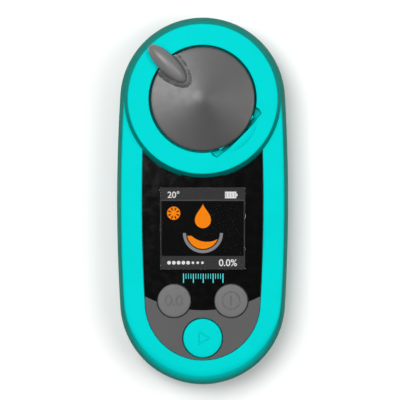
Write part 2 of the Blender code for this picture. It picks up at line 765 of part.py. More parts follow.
def film_down_y():
    return LCD_CENTRE_Y + LCD_LENGTH / 2 + 1.0


def display_block(name, z, thickness, finish):
    half_x = LCD_WIDTH / 2
    foot_y = LCD_CENTRE_Y - LCD_LENGTH / 2
    piece(name, block(-half_x, half_x, foot_y, foot_y + LCD_LENGTH, z, z + thickness), finish)


def make_display_film():
    edge = LCD_CENTRE_Y + LCD_LENGTH / 2
    down = film_down_y()
    low = BOARD_TOP_Z + GAP + FILM_THICKNESS / 2
    high = LCD_Z + 0.7
    path = [
        (edge + GAP, high), (down - 0.3, high), (down - 0.05, high - 0.25),
        (down, high - 0.6), (down, low + 0.8), (down + 0.25, low + 0.25), (down + 0.8, low),
        (down + 2.2, low),
    ]
    piece("display_film", ribbon(path, -FILM_HALF, FILM_HALF, FILM_THICKNESS), "copper_film")


def make_main_board():
    board = piece("main_board", loft([
        case_ring(BOARD_INSET, BOARD_Z),
        case_ring(BOARD_INSET, BOARD_TOP_Z),
    ]), "board_green")
    reach = BODY_LENGTH
    notches = [
        rod(CASE_BOSS_RADIUS + GAP, BOARD_Z - 1, BOARD_TOP_Z + 1, at(x, y), 24) for x, y in boss_places()[:2]
    ]
    holes = [
        rod(SMALL_SCREW_RADIUS + GAP, BOARD_Z - 1, BOARD_TOP_Z + 1, at(x, y), 12)
        for x, y in board_post_places()
    ]
    combine(
        board, "DIFFERENCE",
        block(-reach, reach, BOARD_HEAD_Y, reach, BOARD_Z - 1, BOARD_TOP_Z + 1),
        block(-reach, reach, -reach, BOARD_FOOT_Y, BOARD_Z - 1, BOARD_TOP_Z + 1),
        *notches, *holes,
    )


def make_board_parts():
    """Chips and sockets that stand on the board, then those that hang under it."""
    base = BOARD_TOP_Z + GAP
    film_end = film_down_y() + 2.5
    above = {
        "display_socket": (-6, 6, film_end, film_end + 2.2, 0.9, "white_plastic"),
        "microcontroller": (-14, -7.5, BOARD_HEAD_Y - 7.2, BOARD_HEAD_Y - 0.7, 1.0, "black_plastic"),
        "signal_converter": (8.5, 13.5, BOARD_HEAD_Y - 6.2, BOARD_HEAD_Y - 1.2, 1.0, "black_plastic"),
        "power_inductor": (-1.7, 1.7, BOARD_HEAD_Y - 4.2, BOARD_HEAD_Y - 0.8, 1.0, "black_plastic"),
    }
    for name, (x0, x1, y0, y1, height, finish) in above.items():
        piece(name, block(x0, x1, y0, y1, base, base + height), finish)
    for name, side in (("led_socket", -1), ("sensor_socket", 1)):
        x0, x1 = sorted((side * (RIBBON_INNER_X - 0.8), side * (RIBBON_OUTER_X + 0.8)))
        top = BOARD_Z - GAP
        socket = block(x0, x1, BOARD_HEAD_Y - 5.5, BOARD_HEAD_Y - 1.5, top - SOCKET_HEIGHT, top)
        piece(name, socket, "white_plastic")


def make_switches():
    base = BOARD_TOP_Z + GAP
    half = SWITCH_SIDE / 2
    body_top = ROOF_Z - GAP - KEY_FLANGE_THICKNESS - KEY_TRAVEL - 0.2
    for name, (x, y, _, _) in key_places().items():
        steps = [(half, base), (half, body_top), (half / 2, body_top), (half / 2, body_top + 0.1)]
        piece(f"{name}_switch", loft([rectangle(s, s, z, (x, y)) for s, z in steps]), "black_plastic")


def make_keys():
    flange_z = ROOF_Z - GAP - KEY_FLANGE_THICKNESS
    top = WINDOW_TOP_Z + KEY_RISE
    for name, (x, y, radius, finish) in key_places().items():
        axis = pivot_empty(f"{name}_button_axis", (x, y, top))
        profile = [
            (0, flange_z),
            (radius + KEY_FLANGE, flange_z),
            (radius + KEY_FLANGE, flange_z + KEY_FLANGE_THICKNESS),
            (radius, flange_z + KEY_FLANGE_THICKNESS),
            (radius, top - 0.5),
            (radius - 0.2, top - 0.15),
            (radius - 0.6, top),
            (0, top),
        ]
        piece(f"{name}_button", turned(profile, at(x, y)), finish, axis)


# Sample well


def make_sample_dish():
    mouth = DISH_MOUTH_RADIUS
    throat = DISH_THROAT_RADIUS
    profile = [
        (throat, DISH_FOOT_Z),
        (throat + DISH_THICKNESS, DISH_FOOT_Z),
        (mouth + 0.1, FLANGE_Z - 0.5),
        (mouth + 0.1, FLANGE_Z),
        (DISH_FLANGE_RADIUS, FLANGE_Z),
        (DISH_FLANGE_RADIUS, FLANGE_TOP_Z),
        (mouth, FLANGE_TOP_Z),
        (throat, THROAT_Z),
    ]
    piece("sample_dish", turned(profile, at(0, WELL_Y), 36, wrap=True), "stainless")
    gasket = ring_of(
        DISH_MOUTH_RADIUS + 0.8, DISH_FLANGE_RADIUS - 0.1,
        GASKET_Z, GASKET_Z + GASKET_THICKNESS, at(0, WELL_Y), 32,
    )
    piece("dish_gasket", gasket, "black_rubber")


def make_prism():
    half_x = PRISM_HALF_WIDTH
    half_y = PRISM_HALF_DEPTH
    foot_z = PRISM_TOP_Z - PRISM_HEIGHT
    band_z = PRISM_SHOULDER_Z - PRISM_BAND
    wedge = loft([
        rectangle(PRISM_FOOT_HALF, half_y, foot_z, (0, WELL_Y)),
        rectangle(half_x, half_y, band_z, (0, WELL_Y)),
        rectangle(half_x, half_y, PRISM_SHOULDER_Z, (0, WELL_Y)),
    ])
    prism = piece("prism", wedge, "clear_glass")
    combine(prism, "UNION", rod(DISH_THROAT_RADIUS - GAP, band_z, PRISM_TOP_Z, at(0, WELL_Y)))
    seal = ring_of(
        DISH_THROAT_RADIUS, PRISM_HALF_WIDTH - 0.1,
        PRISM_SEAL_Z, PRISM_SEAL_Z + PRISM_SEAL_HEIGHT, at(0, WELL_Y),
    )
    piece("prism_seal", seal, "black_rubber")


def ear_places():
    return [(-EAR_X, WELL_Y - EAR_Y), (EAR_X, WELL_Y + EAR_Y)]


def ribbon_path():
    """From the sockets under the board, down a little, and through the chassis wall."""
    start_z = BOARD_Z - GAP - SOCKET_HEIGHT / 2
    low_z = start_z - RIBBON_DROP
    start_y = BOARD_HEAD_Y - 1.5 + GAP
    wall_y = WELL_Y - CHASSIS_HALF_WIDTH
    return [
        (start_y, start_z), (start_y + 0.8, start_z), (wall_y - 1.2, low_z), (wall_y - 0.4, low_z),
        (WELL_Y - 3.6, low_z),
    ]


def make_optics_chassis():
    length = CHASSIS_HALF_LENGTH
    width = CHASSIS_HALF_WIDTH
    wall = CHASSIS_WALL
    chassis = piece("optics_chassis", block(
        -length, length, WELL_Y - width, WELL_Y + width, CHASSIS_Z, CHASSIS_TOP_Z,
    ), "black_plastic")
    hollow = block(
        -length + wall, length - wall, WELL_Y - width + wall, WELL_Y + width - wall,
        CHASSIS_Z - HOLE_OVERCUT, CHASSIS_ROOF_Z,
    )
    combine(chassis, "DIFFERENCE", hollow)
    ribs = [
        block(
            x - RIB_HALF, x + RIB_HALF, WELL_Y - width + 1, WELL_Y + width - 1,
            CHASSIS_Z + COVER_LIP + GAP, CHASSIS_ROOF_Z + 0.5,
        )
        for x in (-LENS_X, LENS_X)
    ]
    ears = []
    for x, y in ear_places():
        inner = WELL_Y + math.copysign(width - 1, y - WELL_Y)
        outer = y + math.copysign(EAR_HALF, y - WELL_Y)
        low, high = sorted((inner, outer))
        ear_z = CHASSIS_TOP_Z - EAR_THICKNESS
        ears.append(block(x - EAR_HALF, x + EAR_HALF, low, high, ear_z, CHASSIS_TOP_Z))
    combine(chassis, "UNION", *ribs, *ears)
    pocket_x = PRISM_HALF_WIDTH + GAP
    pocket_y = PRISM_HALF_DEPTH + GAP
    slots = []
    low_z = ribbon_path()[-1][1]
    for x0, x1 in ((-RIBBON_OUTER_X, -RIBBON_INNER_X), (RIBBON_INNER_X, RIBBON_OUTER_X)):
        slots.append(block(
            x0 - GAP, x1 + GAP, WELL_Y - width - 1, WELL_Y - width + wall + 1, low_z - 0.5, low_z + 0.5,
        ))
    combine(
        chassis, "DIFFERENCE",
        block(
            -pocket_x, pocket_x, WELL_Y - pocket_y, WELL_Y + pocket_y, CHASSIS_ROOF_Z - 1, CHASSIS_TOP_Z + 1,
        ),
        rod(DISH_THROAT_RADIUS + 2.5, PRISM_SHOULDER_Z, CHASSIS_TOP_Z + 1, at(0, WELL_Y)),
        rod(LENS_RADIUS + GAP, -LENS_X - 3, LENS_X + 3, along_x(0, WELL_Y, BEAM_Z), 24),
        *slots,
        *[
            rod(SMALL_SCREW_RADIUS + GAP, CHASSIS_TOP_Z - EAR_THICKNESS - 1, CHASSIS_TOP_Z + 1, at(x, y), 12)
            for x, y in ear_places()
        ],
    )


def make_optics_cover():
    length = CHASSIS_HALF_LENGTH
    width = CHASSIS_HALF_WIDTH
    inner = CHASSIS_WALL + GAP
    steps = [
        (length, width, COVER_Z),
        (length, width, COVER_Z + COVER_THICKNESS),
        (length - inner, width - inner, COVER_Z + COVER_THICKNESS),
        (length - inner, width - inner, CHASSIS_Z + COVER_LIP),
    ]
    piece("optics_cover", loft([rectangle(x, y, z, (0, WELL_Y)) for x, y, z in steps]), "black_plastic")


def make_beam_parts():
    """Light source, lenses and line sensor, in order along the beam."""
    board_x = CHASSIS_HALF_LENGTH - CHASSIS_WALL - GAP
    low = CHASSIS_Z + COVER_LIP + GAP
    high = CHASSIS_ROOF_Z - GAP
    half = CHASSIS_HALF_WIDTH - CHASSIS_WALL - GAP
    for name, side in (("led_board", -1), ("sensor_board", 1)):
        x0, x1 = sorted((side * board_x, side * (board_x - SMALL_BOARD)))
        piece(name, block(x0, x1, WELL_Y - half, WELL_Y + half, low, high), "board_green")
    led_x = -board_x + SMALL_BOARD + GAP
    led_profile = [
        (0, 0), (LED_RADIUS + 0.4, 0), (LED_RADIUS + 0.4, 0.8), (LED_RADIUS, 0.8), (LED_RADIUS, 3.0),
        (LED_RADIUS * 0.8, 3.8), (LED_RADIUS * 0.4, 4.2), (0, 4.3),
    ]
    piece("led", turned(led_profile, along_x(led_x, WELL_Y, BEAM_Z), 20), "clear_glass")
    bulge = LENS_HALF_THICKNESS
    lens_profile = [
        (0, -bulge), (LENS_RADIUS * 0.5, -bulge * 0.8), (LENS_RADIUS, -bulge * 0.3),
        (LENS_RADIUS, bulge * 0.3), (LENS_RADIUS * 0.5, bulge * 0.8), (0, bulge),
    ]
    for name, x in (("condenser_lens", -LENS_X), ("imaging_lens", LENS_X)):
        piece(name, turned(lens_profile, along_x(x, WELL_Y, BEAM_Z), 24), "clear_glass")
    sensor_x = board_x - SMALL_BOARD - GAP
    sensor = block(sensor_x - 2.1, sensor_x, WELL_Y - 2.5, WELL_Y + 2.5, BEAM_Z - 4, BEAM_Z + 4)
    piece("line_sensor", sensor, "black_plastic")
    for name, side in (("led_ribbon", -1), ("sensor_ribbon", 1)):
        x0, x1 = sorted((side * RIBBON_INNER_X, side * RIBBON_OUTER_X))
        piece(name, ribbon(ribbon_path(), x0, x1, FILM_THICKNESS), "copper_film")


def make_thermistor():
    """A bead under the dish, with two leads that run down the chassis."""
    y = WELL_Y + CHASSIS_HALF_WIDTH + 1.0
    z = WELL_BOSS_Z + 0.4
    bead = piece("thermistor", turned(
        [(0, -0.7), (0.5, -0.5), (0.7, 0), (0.5, 0.5), (0, 0.7)], at(0, y, z), 12,
    ), "black_plastic")
    leads = [rod(0.2, -6.5, -0.2, at(x, y, z), 8) for x in (-0.4, 0.4)]
    combine(bead, "UNION", *leads)


# Lid


def make_lid():
    axis = pivot_empty("lid_axis", HINGE_POINT)
    centre = at(0, WELL_Y)
    top = COLLAR_Z + LID_APEX
    profile = [
        (0, LID_POCKET_Z),
        (LID_POCKET_RADIUS, LID_POCKET_Z),
        (LID_POCKET_RADIUS, LID_Z),
        (LID_RADIUS - 0.3, LID_Z),
        (LID_RADIUS, LID_Z + 0.3),
        (LID_RADIUS, LID_RIM_Z - 0.65),
        (LID_RADIUS - 0.15, LID_RIM_Z - 0.25),
        (LID_RADIUS - 0.6, LID_RIM_Z),
        (LID_RADIUS * 0.55, LID_RIM_Z + (top - LID_RIM_Z) * 0.52),
        (3.0, top - 0.2),
        (0, top),
    ]
    lid = piece("lid", turned(profile, centre, FINE_ROUND), "grey_plastic", axis)
    combine(lid, "UNION", rod(HINGE_BARREL, -HINGE_BARREL_HALF, HINGE_BARREL_HALF, along_hinge(), 24))
    moat = piece("grip_moat_guide", ellipsoid(GRIP_MOAT, GRIP_POINT), "black_plastic")
    combine(moat, "DIFFERENCE", floor_block(GRIP_FLOOR_Z - GAP))
    hole_place = at(*grip_screw_place())
    combine(
        lid, "DIFFERENCE",
        moat,
        *lid_ear_slots(),
        rod(HINGE_PIN + GAP, -HINGE_BARREL_HALF - 1, HINGE_BARREL_HALF + 1, along_hinge(), 12),
        rod(0.6 + GAP, LID_POCKET_Z - 1, GRIP_FLOOR_Z + 1, hole_place, 12),
    )
    seal = ring_of(
        LID_POCKET_RADIUS - 1.7, LID_POCKET_RADIUS - GAP,
        LID_POCKET_Z - GAP - LID_SEAL_HEIGHT, LID_POCKET_Z - GAP, centre, 32,
    )
    piece("lid_seal", seal, "black_rubber", axis)
    grip = piece("lid_grip", ellipsoid(0.0, GRIP_POINT), "light_grey_plastic", axis)
    combine(
        grip, "DIFFERENCE",
        floor_block(GRIP_FLOOR_Z),
        rod(0.6 + GAP, GRIP_FLOOR_Z - 1, GRIP_FLOOR_Z + 1.6, hole_place, 12),
    )
    head_z = LID_POCKET_Z - GAP
    screw = turned(
        [(0, head_z - 0.7), (1.2, head_z - 0.7), (1.2, head_z), (0.6, head_z), (0.6, GRIP_FLOOR_Z + 1.3),
         (0, GRIP_FLOOR_Z + 1.3)],
        hole_place, 16,
    )
    piece("grip_screw", screw, "zinc_screw", axis)
    piece("lid_hinge_pin", rod(HINGE_PIN, -HINGE_PIN_HALF, HINGE_PIN_HALF, along_hinge(), 12), "stainless")


def grip_screw_place():
    place = Vector((0, WELL_Y)) - GRIP_SCREW_REACH * HINGE_OUT.to_2d()
    return place.x, place.y


def floor_block(top):
    reach = BODY_LENGTH
    return block(-reach, reach, -reach, reach, top - 20, top)


def ellipsoid(margin, centre):
    """The grip's shape, grown by a margin all round, its long axis pointing at the hinge."""
    rows = 10
    profile = []
    for k in range(rows + 1):
        turn = math.pi * k / rows
        profile.append((round(math.sin(turn), 9), -math.cos(turn)))
    halves = (GRIP_HALF_LENGTH, GRIP_HALF_WIDTH, GRIP_HALF_HEIGHT)
    grow = Matrix.Diagonal((*(half + margin for half in halves), 1))
    return turned(profile, Matrix.Translation(centre) @ Matrix.Rotation(HINGE_TURN, 4, "Z") @ grow)


# Batteries


def contact_y():
    return BAY_HEAD_Y - GAP - CONTACT_THICKNESS


def make_cells():
    radius = CELL_DIAMETER / 2
    body = CELL_LENGTH - CELL_NUB_LENGTH
    profile = [
        (0, 0), (radius - 0.4, 0), (radius, 0.4), (radius, body - 0.4), (radius - 0.4, body),
        (CELL_NUB_RADIUS, body), (CELL_NUB_RADIUS, CELL_LENGTH), (0, CELL_LENGTH),
    ]
    left_start = BAY_FOOT_Y + 2 * GAP + CONTACT_THICKNESS + SPRING_LENGTH + GAP
    right_end = BAY_FOOT_Y + GAP + CONTACT_THICKNESS + GAP
    left = turned(profile, along_y(-CELL_PITCH / 2, left_start, CELL_Z), 24)
    flip = along_y(CELL_PITCH / 2, right_end + CELL_LENGTH, CELL_Z) @ Matrix.Rotation(math.pi, 4, "X")
    piece("cell_left", left, "cell_sleeve")
    piece("cell_right", turned(profile, flip, 24), "cell_sleeve")


def make_contacts():
    foot_y = BAY_FOOT_Y + GAP
    head_y = contact_y()
    low = BAY_LEDGE_Z + 1.3
    high = BAY_ROOF_Z - GAP
    outer = BAY_HALF - 0.7
    bridge = block(-outer, outer, foot_y, foot_y + CONTACT_THICKNESS, low, high)
    piece("bridge_contact", bridge, "spring_steel")
    for name, side in (("positive_contact", -1), ("negative_contact", 1)):
        x0, x1 = sorted((side * 0.8, side * outer))
        contact = piece(name, block(x0, x1, head_y, head_y + CONTACT_THICKNESS, low, high), "spring_steel")
        tab_x = side * CELL_PITCH / 2
        tab = block(
            tab_x - CONTACT_TAB_HALF, tab_x + CONTACT_TAB_HALF,
            head_y + 0.05, head_y + CONTACT_THICKNESS - 0.05, high - 1, BAY_TOP_Z,
        )
        combine(contact, "UNION", tab)
    springs = {
        "bridge_spring": along_y(-CELL_PITCH / 2, foot_y + CONTACT_THICKNESS + GAP, CELL_Z),
        "negative_spring": along_y(CELL_PITCH / 2, head_y - GAP, CELL_Z) @ Matrix.Rotation(math.pi, 4, "X"),
    }
    tip_radius = SPRING_RADIUS - SPRING_TAPER
    for name, place in springs.items():
        shape = coil(SPRING_RADIUS, tip_radius, SPRING_WIRE, SPRING_TURNS, SPRING_LENGTH - GAP, place)
        piece(name, shape, "spring_steel")


def door_pin_half():
    return DOOR_HALF + GAP + 1.2


def make_battery_door():
    axis = pivot_empty("battery_door_axis", (0, DOOR_AXIS_Y, DOOR_AXIS_Z))
    panel = loft([
        rounded_rectangle(-DOOR_HALF, DOOR_HALF, DOOR_FOOT_Y, DOOR_AXIS_Y, DOOR_CORNER, z)
        for z in (DOOR_OUT_Z, DOOR_IN_Z)
    ])
    door = piece("battery_door", panel, "teal_plastic", axis)
    through = along_x(0, DOOR_AXIS_Y, DOOR_AXIS_Z)
    combine(door, "UNION", rod(DOOR_KNUCKLE, -DOOR_HALF, DOOR_HALF, through, 20))
    combine(door, "DIFFERENCE", rod(DOOR_PIN + GAP, -DOOR_HALF - 1, DOOR_HALF + 1, through, 12))
    piece("door_hinge_pin", rod(DOOR_PIN, -door_pin_half(), door_pin_half(), through, 12), "stainless")


# Fasteners


def case_screw_tip():
    return FRONT_Z + 3.2


def board_screw_tip():
    return ROOF_Z - 0.6


def ear_screw_tip():
    return WELL_BOSS_Z + 1.5


def screw(name, x, y, head_z, head_height, tip_z, head_radius, radius):
    profile = [
        (0, head_z), (head_radius, head_z), (head_radius, head_z + head_height),
        (radius, head_z + head_height), (radius, tip_z - 0.6), (radius * 0.5, tip_z), (0, tip_z),
    ]
    piece(name, turned(profile, at(x, y), 12), "zinc_screw")


def make_screws():
    for number, (x, y) in enumerate(boss_places(), 1):
        head_z = CASE_SCREW_SHELF - GAP - CASE_HEAD_HEIGHT
        screw(
            f"case_screw_{number}", x, y, head_z, CASE_HEAD_HEIGHT, case_screw_tip(),
            CASE_SCREW_HEAD, CASE_SCREW_RADIUS,
        )
    for number, (x, y) in enumerate(board_post_places(), 1):
        screw(
            f"board_screw_{number}", x, y, BOARD_Z - GAP - SMALL_HEAD_HEIGHT,
            SMALL_HEAD_HEIGHT, board_screw_tip(), SMALL_SCREW_HEAD, SMALL_SCREW_RADIUS,
        )
    for number, (x, y) in enumerate(ear_places(), 1):
        head_z = CHASSIS_TOP_Z - EAR_THICKNESS - GAP - SMALL_HEAD_HEIGHT
        screw(
            f"optics_screw_{number}", x, y, head_z, SMALL_HEAD_HEIGHT, ear_screw_tip(),
            SMALL_SCREW_HEAD, SMALL_SCREW_RADIUS,
        )


def build():
    clear_scene()
    make_front_case()
    make_rear_case()
    make_case_seal()
    make_display_window()
    make_keypad_plate()
    display_block("lcd_panel", LCD_Z, LCD_THICKNESS, "clear_glass")
    display_block("lcd_backlight", BACKLIGHT_Z, BACKLIGHT_THICKNESS, "white_plastic")
    make_display_film()
    make_main_board()
    make_board_parts()
    make_switches()
    make_keys()
    make_sample_dish()
    make_prism()
    make_optics_chassis()
    make_optics_cover()
    make_beam_parts()
    make_thermistor()
    make_lid()
    make_cells()
    make_contacts()
    make_battery_door()
    make_screws()


build()
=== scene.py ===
"""Looks of the pocket refractometer: its smooth shells, lid, keys, display and their finishes.

Sizes are metres. +Z comes out of the display, +Y points to the sample well at the head, and the
instrument lies on its back on Z = 0.
"""

import json
import math

import bpy
from mathutils import Matrix, Vector


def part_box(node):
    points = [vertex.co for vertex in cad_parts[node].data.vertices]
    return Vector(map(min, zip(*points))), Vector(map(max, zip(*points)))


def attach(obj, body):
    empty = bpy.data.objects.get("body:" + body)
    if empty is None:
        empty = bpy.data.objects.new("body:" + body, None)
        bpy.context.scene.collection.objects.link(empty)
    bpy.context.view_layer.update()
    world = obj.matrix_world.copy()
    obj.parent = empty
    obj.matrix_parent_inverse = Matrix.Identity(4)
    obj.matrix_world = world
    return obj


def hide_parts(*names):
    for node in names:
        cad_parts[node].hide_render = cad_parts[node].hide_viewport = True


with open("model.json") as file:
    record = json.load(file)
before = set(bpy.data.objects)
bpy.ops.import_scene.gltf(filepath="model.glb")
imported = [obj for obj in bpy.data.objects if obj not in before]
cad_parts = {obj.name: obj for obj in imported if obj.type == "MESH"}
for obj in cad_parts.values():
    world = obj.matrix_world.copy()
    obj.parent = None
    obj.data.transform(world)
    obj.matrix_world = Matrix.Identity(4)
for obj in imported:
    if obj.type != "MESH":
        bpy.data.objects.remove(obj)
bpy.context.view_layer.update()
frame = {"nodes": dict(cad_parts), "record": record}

MM = 0.001

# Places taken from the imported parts
FRONT_LOW, FRONT_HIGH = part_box("front_case")
REAR_LOW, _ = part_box("rear_case")
DISH_LOW, DISH_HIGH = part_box("sample_dish")
WINDOW_LOW, WINDOW_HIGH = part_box("display_window")
LCD_LOW, LCD_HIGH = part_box("lcd_panel")
DOOR_LOW, DOOR_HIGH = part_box("battery_door")
PIN_LOW, PIN_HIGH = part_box("lid_hinge_pin")

# Case outline
HALF_WIDTH = FRONT_HIGH.x
HALF_LENGTH = FRONT_HIGH.y
SIDE_BULGE = 1.0 * MM
END_RADIUS = HALF_WIDTH - SIDE_BULGE
END_Y = HALF_LENGTH - END_RADIUS
SIDE_RADIUS = (HALF_WIDTH**2 + END_Y**2 - END_RADIUS**2) / (2 * SIDE_BULGE)
SIDE_TILT = math.atan2(END_Y, SIDE_RADIUS - HALF_WIDTH)
END_STEPS = 60
SIDE_STEPS = 14
FOOT_DRAW = 3.1 * MM
WALL = 2.4 * MM
SCREW_BOSS_RADIUS = 3.3 * MM

# Heights
SEAM_LOW_Z = REAR_LOW.z + 12.0 * MM
SEAM_Z = FRONT_LOW.z
COLLAR_Z = 24.0 * MM
FACE_Z = COLLAR_Z - 3.0 * MM
SHOULDER_Z = SEAM_Z + 2.95 * MM
RECESS_Z = WINDOW_LOW.z - 0.3 * MM
ROOF_Z = RECESS_Z - 1.6 * MM
WELL_FLOOR_Z = COLLAR_Z - 4.4 * MM
WELL_BOSS_Z = WELL_FLOOR_Z - WALL

# Collar, well and lid
WELL = Vector(((DISH_LOW.x + DISH_HIGH.x) / 2, (DISH_LOW.y + DISH_HIGH.y) / 2, 0))
COLLAR_TOP_RADIUS = 24.4 * MM
COLLAR_BASE_RADIUS = 25.7 * MM
WELL_RADIUS = 17.4 * MM
LID_RADIUS = 16.9 * MM
LID_RIM_Z = COLLAR_Z + 0.3 * MM
LID_TOP_Z = COLLAR_Z + 3.0 * MM
HINGE_OUT = Vector((1, -1, 0)).normalized()
HINGE_POINT = (PIN_LOW + PIN_HIGH) / 2
HINGE_TURN = math.atan2(HINGE_OUT.y, HINGE_OUT.x)
BARREL_RADIUS = 1.25 * MM
BARREL_HALF = 5.8 * MM
EAR_WIDTH = 1.5 * MM
EAR_AIR = 0.3 * MM
EAR_RADIUS = 0.85 * MM
GRIP_REACH = 16.1 * MM
GRIP_HALVES = (8.2 * MM, 3.05 * MM, 3.3 * MM)
GRIP_Z = COLLAR_Z + 1.2 * MM
GRIP_POINT = WELL - HINGE_OUT * GRIP_REACH + Vector((0, 0, GRIP_Z))

# Front panel
PANEL_INSET = 8.3 * MM
PANEL_AIR = 0.08 * MM
ARC_Y = 5.6 * MM
ARC_RADIUS = 41.1 * MM
ARC_AIR = 0.01 * MM
KEY_AIR = 0.3 * MM
SCREEN_HALF_X = 13.8 * MM
SCREEN_LOW_Y = -22.25 * MM
SCREEN_HIGH_Y = 4.35 * MM
SCREEN_LAYER = 0.01 * MM
KEY_FLANGE = 1.2 * MM
GROOVE_WIDTH = 0.5 * MM

# Battery door
DOOR_AIR = 0.3 * MM
BARREL_Y = DOOR_HIGH.y - MM
BARREL_Z = DOOR_LOW.z + MM
DOOR_PIN_BORE = 0.65 * MM

# Studio
LIGHT_DISTANCE = 1.1


# Working tools

# Direction of a bar along an axis, and the turn that lays it there
AXES = {"X": (Vector((1, 0, 0)), (0, math.pi / 2, 0)), "Z": (Vector((0, 0, 1)), (0, 0, 0))}


def pick(shape=None):
    """Selects one shape alone and makes it the active one, or selects nothing."""
    bpy.ops.object.select_all(action="DESELECT")
    if shape:
        shape.select_set(True)
        bpy.context.view_layer.objects.active = shape


def mode(name):
    bpy.ops.object.mode_set(mode=name)


def begin(kind, **settings):
    """Adds a primitive with nothing else selected, and opens it for editing."""
    pick()
    getattr(bpy.ops.mesh, f"primitive_{kind}_add")(**settings)
    mode("EDIT")
    bpy.ops.mesh.select_all(action="SELECT")


def close(name):
    """Leaves the edit with every face pointing outwards and the place in the mesh."""
    bpy.ops.mesh.select_all(action="SELECT")
    bpy.ops.mesh.normals_make_consistent(inside=False)
    mode("OBJECT")
    shape = bpy.context.object
    bpy.ops.object.transform_apply(location=True, rotation=True, scale=True)
    shape.name = name
    shape.data.name = name
    return shape


def select_rims():
    bpy.ops.mesh.select_all(action="DESELECT")
    bpy.ops.mesh.select_non_manifold(extend=False)


def turned(name, profile, centre=WELL, steps=96, ring=False):
    """A round piece: a circle extruded and resized along its (radius, height) profile."""
    profile = list(profile)
    foot_tip = profile.pop(0)[1] if profile[0][0] == 0 else None
    radius, height = profile[0]
    begin("circle", vertices=steps, radius=radius, location=(centre.x, centre.y, centre.z + height))
    for next_radius, next_height in profile[1:]:
        rise = {"value": (0, 0, next_height - height)}
        bpy.ops.mesh.extrude_region_move(TRANSFORM_OT_translate=rise)
        if next_radius == 0:
            bpy.ops.mesh.merge(type="CENTER")
        else:
            grow = next_radius / radius
            middle = (centre.x, centre.y, centre.z + next_height)
            bpy.ops.transform.resize(value=(grow, grow, 1), center_override=middle)
        radius, height = next_radius, next_height
    select_rims()
    if ring:
        bpy.ops.mesh.bridge_edge_loops()
    elif foot_tip is not None:
        drop = {"value": (0, 0, foot_tip - profile[0][1])}
        bpy.ops.mesh.extrude_region_move(TRANSFORM_OT_translate=drop)
        bpy.ops.mesh.merge(type="CENTER")
    return close(name)


def round_bar(name, radius, start, stop, axis="Z", centre=Vector(), steps=32, soften=0.0):
    """A round bar along an axis, with its end edges bevelled if soften is given."""
    along, turn = AXES[axis]
    middle = centre + along * (start + stop) / 2
    begin("cylinder", vertices=steps, radius=radius, depth=stop - start, location=middle, rotation=turn)
    if soften:
        bpy.ops.mesh.select_all(action="DESELECT")
        mode("OBJECT")
        for face in bpy.context.object.data.polygons:
            face.select = len(face.vertices) > 4
        mode("EDIT")
        bpy.ops.mesh.region_to_loop()
        bpy.ops.mesh.bevel(offset=soften, segments=3, affect="EDGES")
    return close(name)


def box_shape(name, low, high, soften=0.0, segments=3):
    """A block between two corners, with every edge rounded if soften is given."""
    low, high = Vector(low), Vector(high)
    begin("cube", size=1, location=(low + high) / 2, scale=high - low)
    shape = close(name)
    if soften:
        pick(shape)
        mode("EDIT")
        bpy.ops.mesh.select_all(action="SELECT")
        bpy.ops.mesh.bevel(offset=soften, segments=segments, affect="EDGES")
        shape = close(name)
    return shape


def carve(target, operation, *tools, solver="MANIFOLD"):
    """Joins tools to the target or cuts them out of it, and uses them up."""
    for tool in tools:
        step = target.modifiers.new(operation.lower(), "BOOLEAN")
        step.operation = operation
        step.solver = solver
        step.object = tool
        pick(target)
        bpy.ops.object.modifier_apply(modifier=step.name)
        bpy.data.objects.remove(tool, do_unlink=True)
    return target


def smooth(shape, degrees=32):
    """Smooth shading that large flat faces keep flat."""
    pick(shape)
    bpy.ops.object.shade_smooth_by_angle(angle=math.radians(degrees))
    step = shape.modifiers.new("even_normals", "WEIGHTED_NORMAL")
    step.keep_sharp = True
    bpy.ops.object.modifier_apply(modifier=step.name)
    return shape


def moved(shape, matrix):
    """Applies a matrix to the mesh, so that the object itself stays at the origin."""
    shape.data.transform(matrix)
    shape.data.update()
    return shape


def hinge_turn():
    """Turns a bar that stands along Z to lie along the lid's hinge."""
    return Matrix.Rotation(HINGE_TURN + math.pi / 2, 4, "Z") @ Matrix.Rotation(math.pi / 2, 4, "Y")


def hinge_place():
    """From a bar that stands along Z at the origin to one on the lid's hinge."""
    return Matrix.Translation(HINGE_POINT) @ hinge_turn()


def place_piece(shape, body, slot, *nodes, finish=None):
    """Gives a finished piece its body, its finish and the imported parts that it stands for."""
    shape.data.materials.clear()
    shape.data.materials.append(finish or FINISHES[slot])
    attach(shape, body)
    if nodes:
        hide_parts(*nodes)
    return shape


# Finishes

FINISHES = {}


def link_noise(tree, source, size, detail=2.0, stretch=None):
    """Noise with features of about that size, in metres."""
    if stretch:
        mapping = tree.nodes.new("ShaderNodeMapping")
        mapping.inputs["Scale"].default_value = stretch
        tree.links.new(source, mapping.inputs["Vector"])
        source = mapping.outputs["Vector"]
    noise = tree.nodes.new("ShaderNodeTexNoise")
    noise.inputs["Scale"].default_value = 1 / size
    noise.inputs["Detail"].default_value = detail
    tree.links.new(source, noise.inputs["Vector"])
    return noise.outputs["Fac"]


def link_range(tree, source, low, high, start=0.3, stop=0.7):
    """Spreads a value between start and stop over low to high."""
    spread = tree.nodes.new("ShaderNodeMapRange")
    spread.inputs["From Min"].default_value = start
    spread.inputs["From Max"].default_value = stop
    spread.inputs["To Min"].default_value = low
    spread.inputs["To Max"].default_value = high
    tree.links.new(source, spread.inputs["Value"])
    return spread.outputs["Result"]


def link_blend(tree, source, first, second):
    """Mixes two colours, each a tuple or a node's output."""
    blend = tree.nodes.new("ShaderNodeMix")
    blend.data_type = "RGBA"
    tree.links.new(source, blend.inputs[0])
    for socket, colour in ((blend.inputs[6], first), (blend.inputs[7], second)):
        if isinstance(colour, tuple):
            socket.default_value = (*colour, 1)
        else:
            tree.links.new(colour, socket)
    return blend.outputs[2]


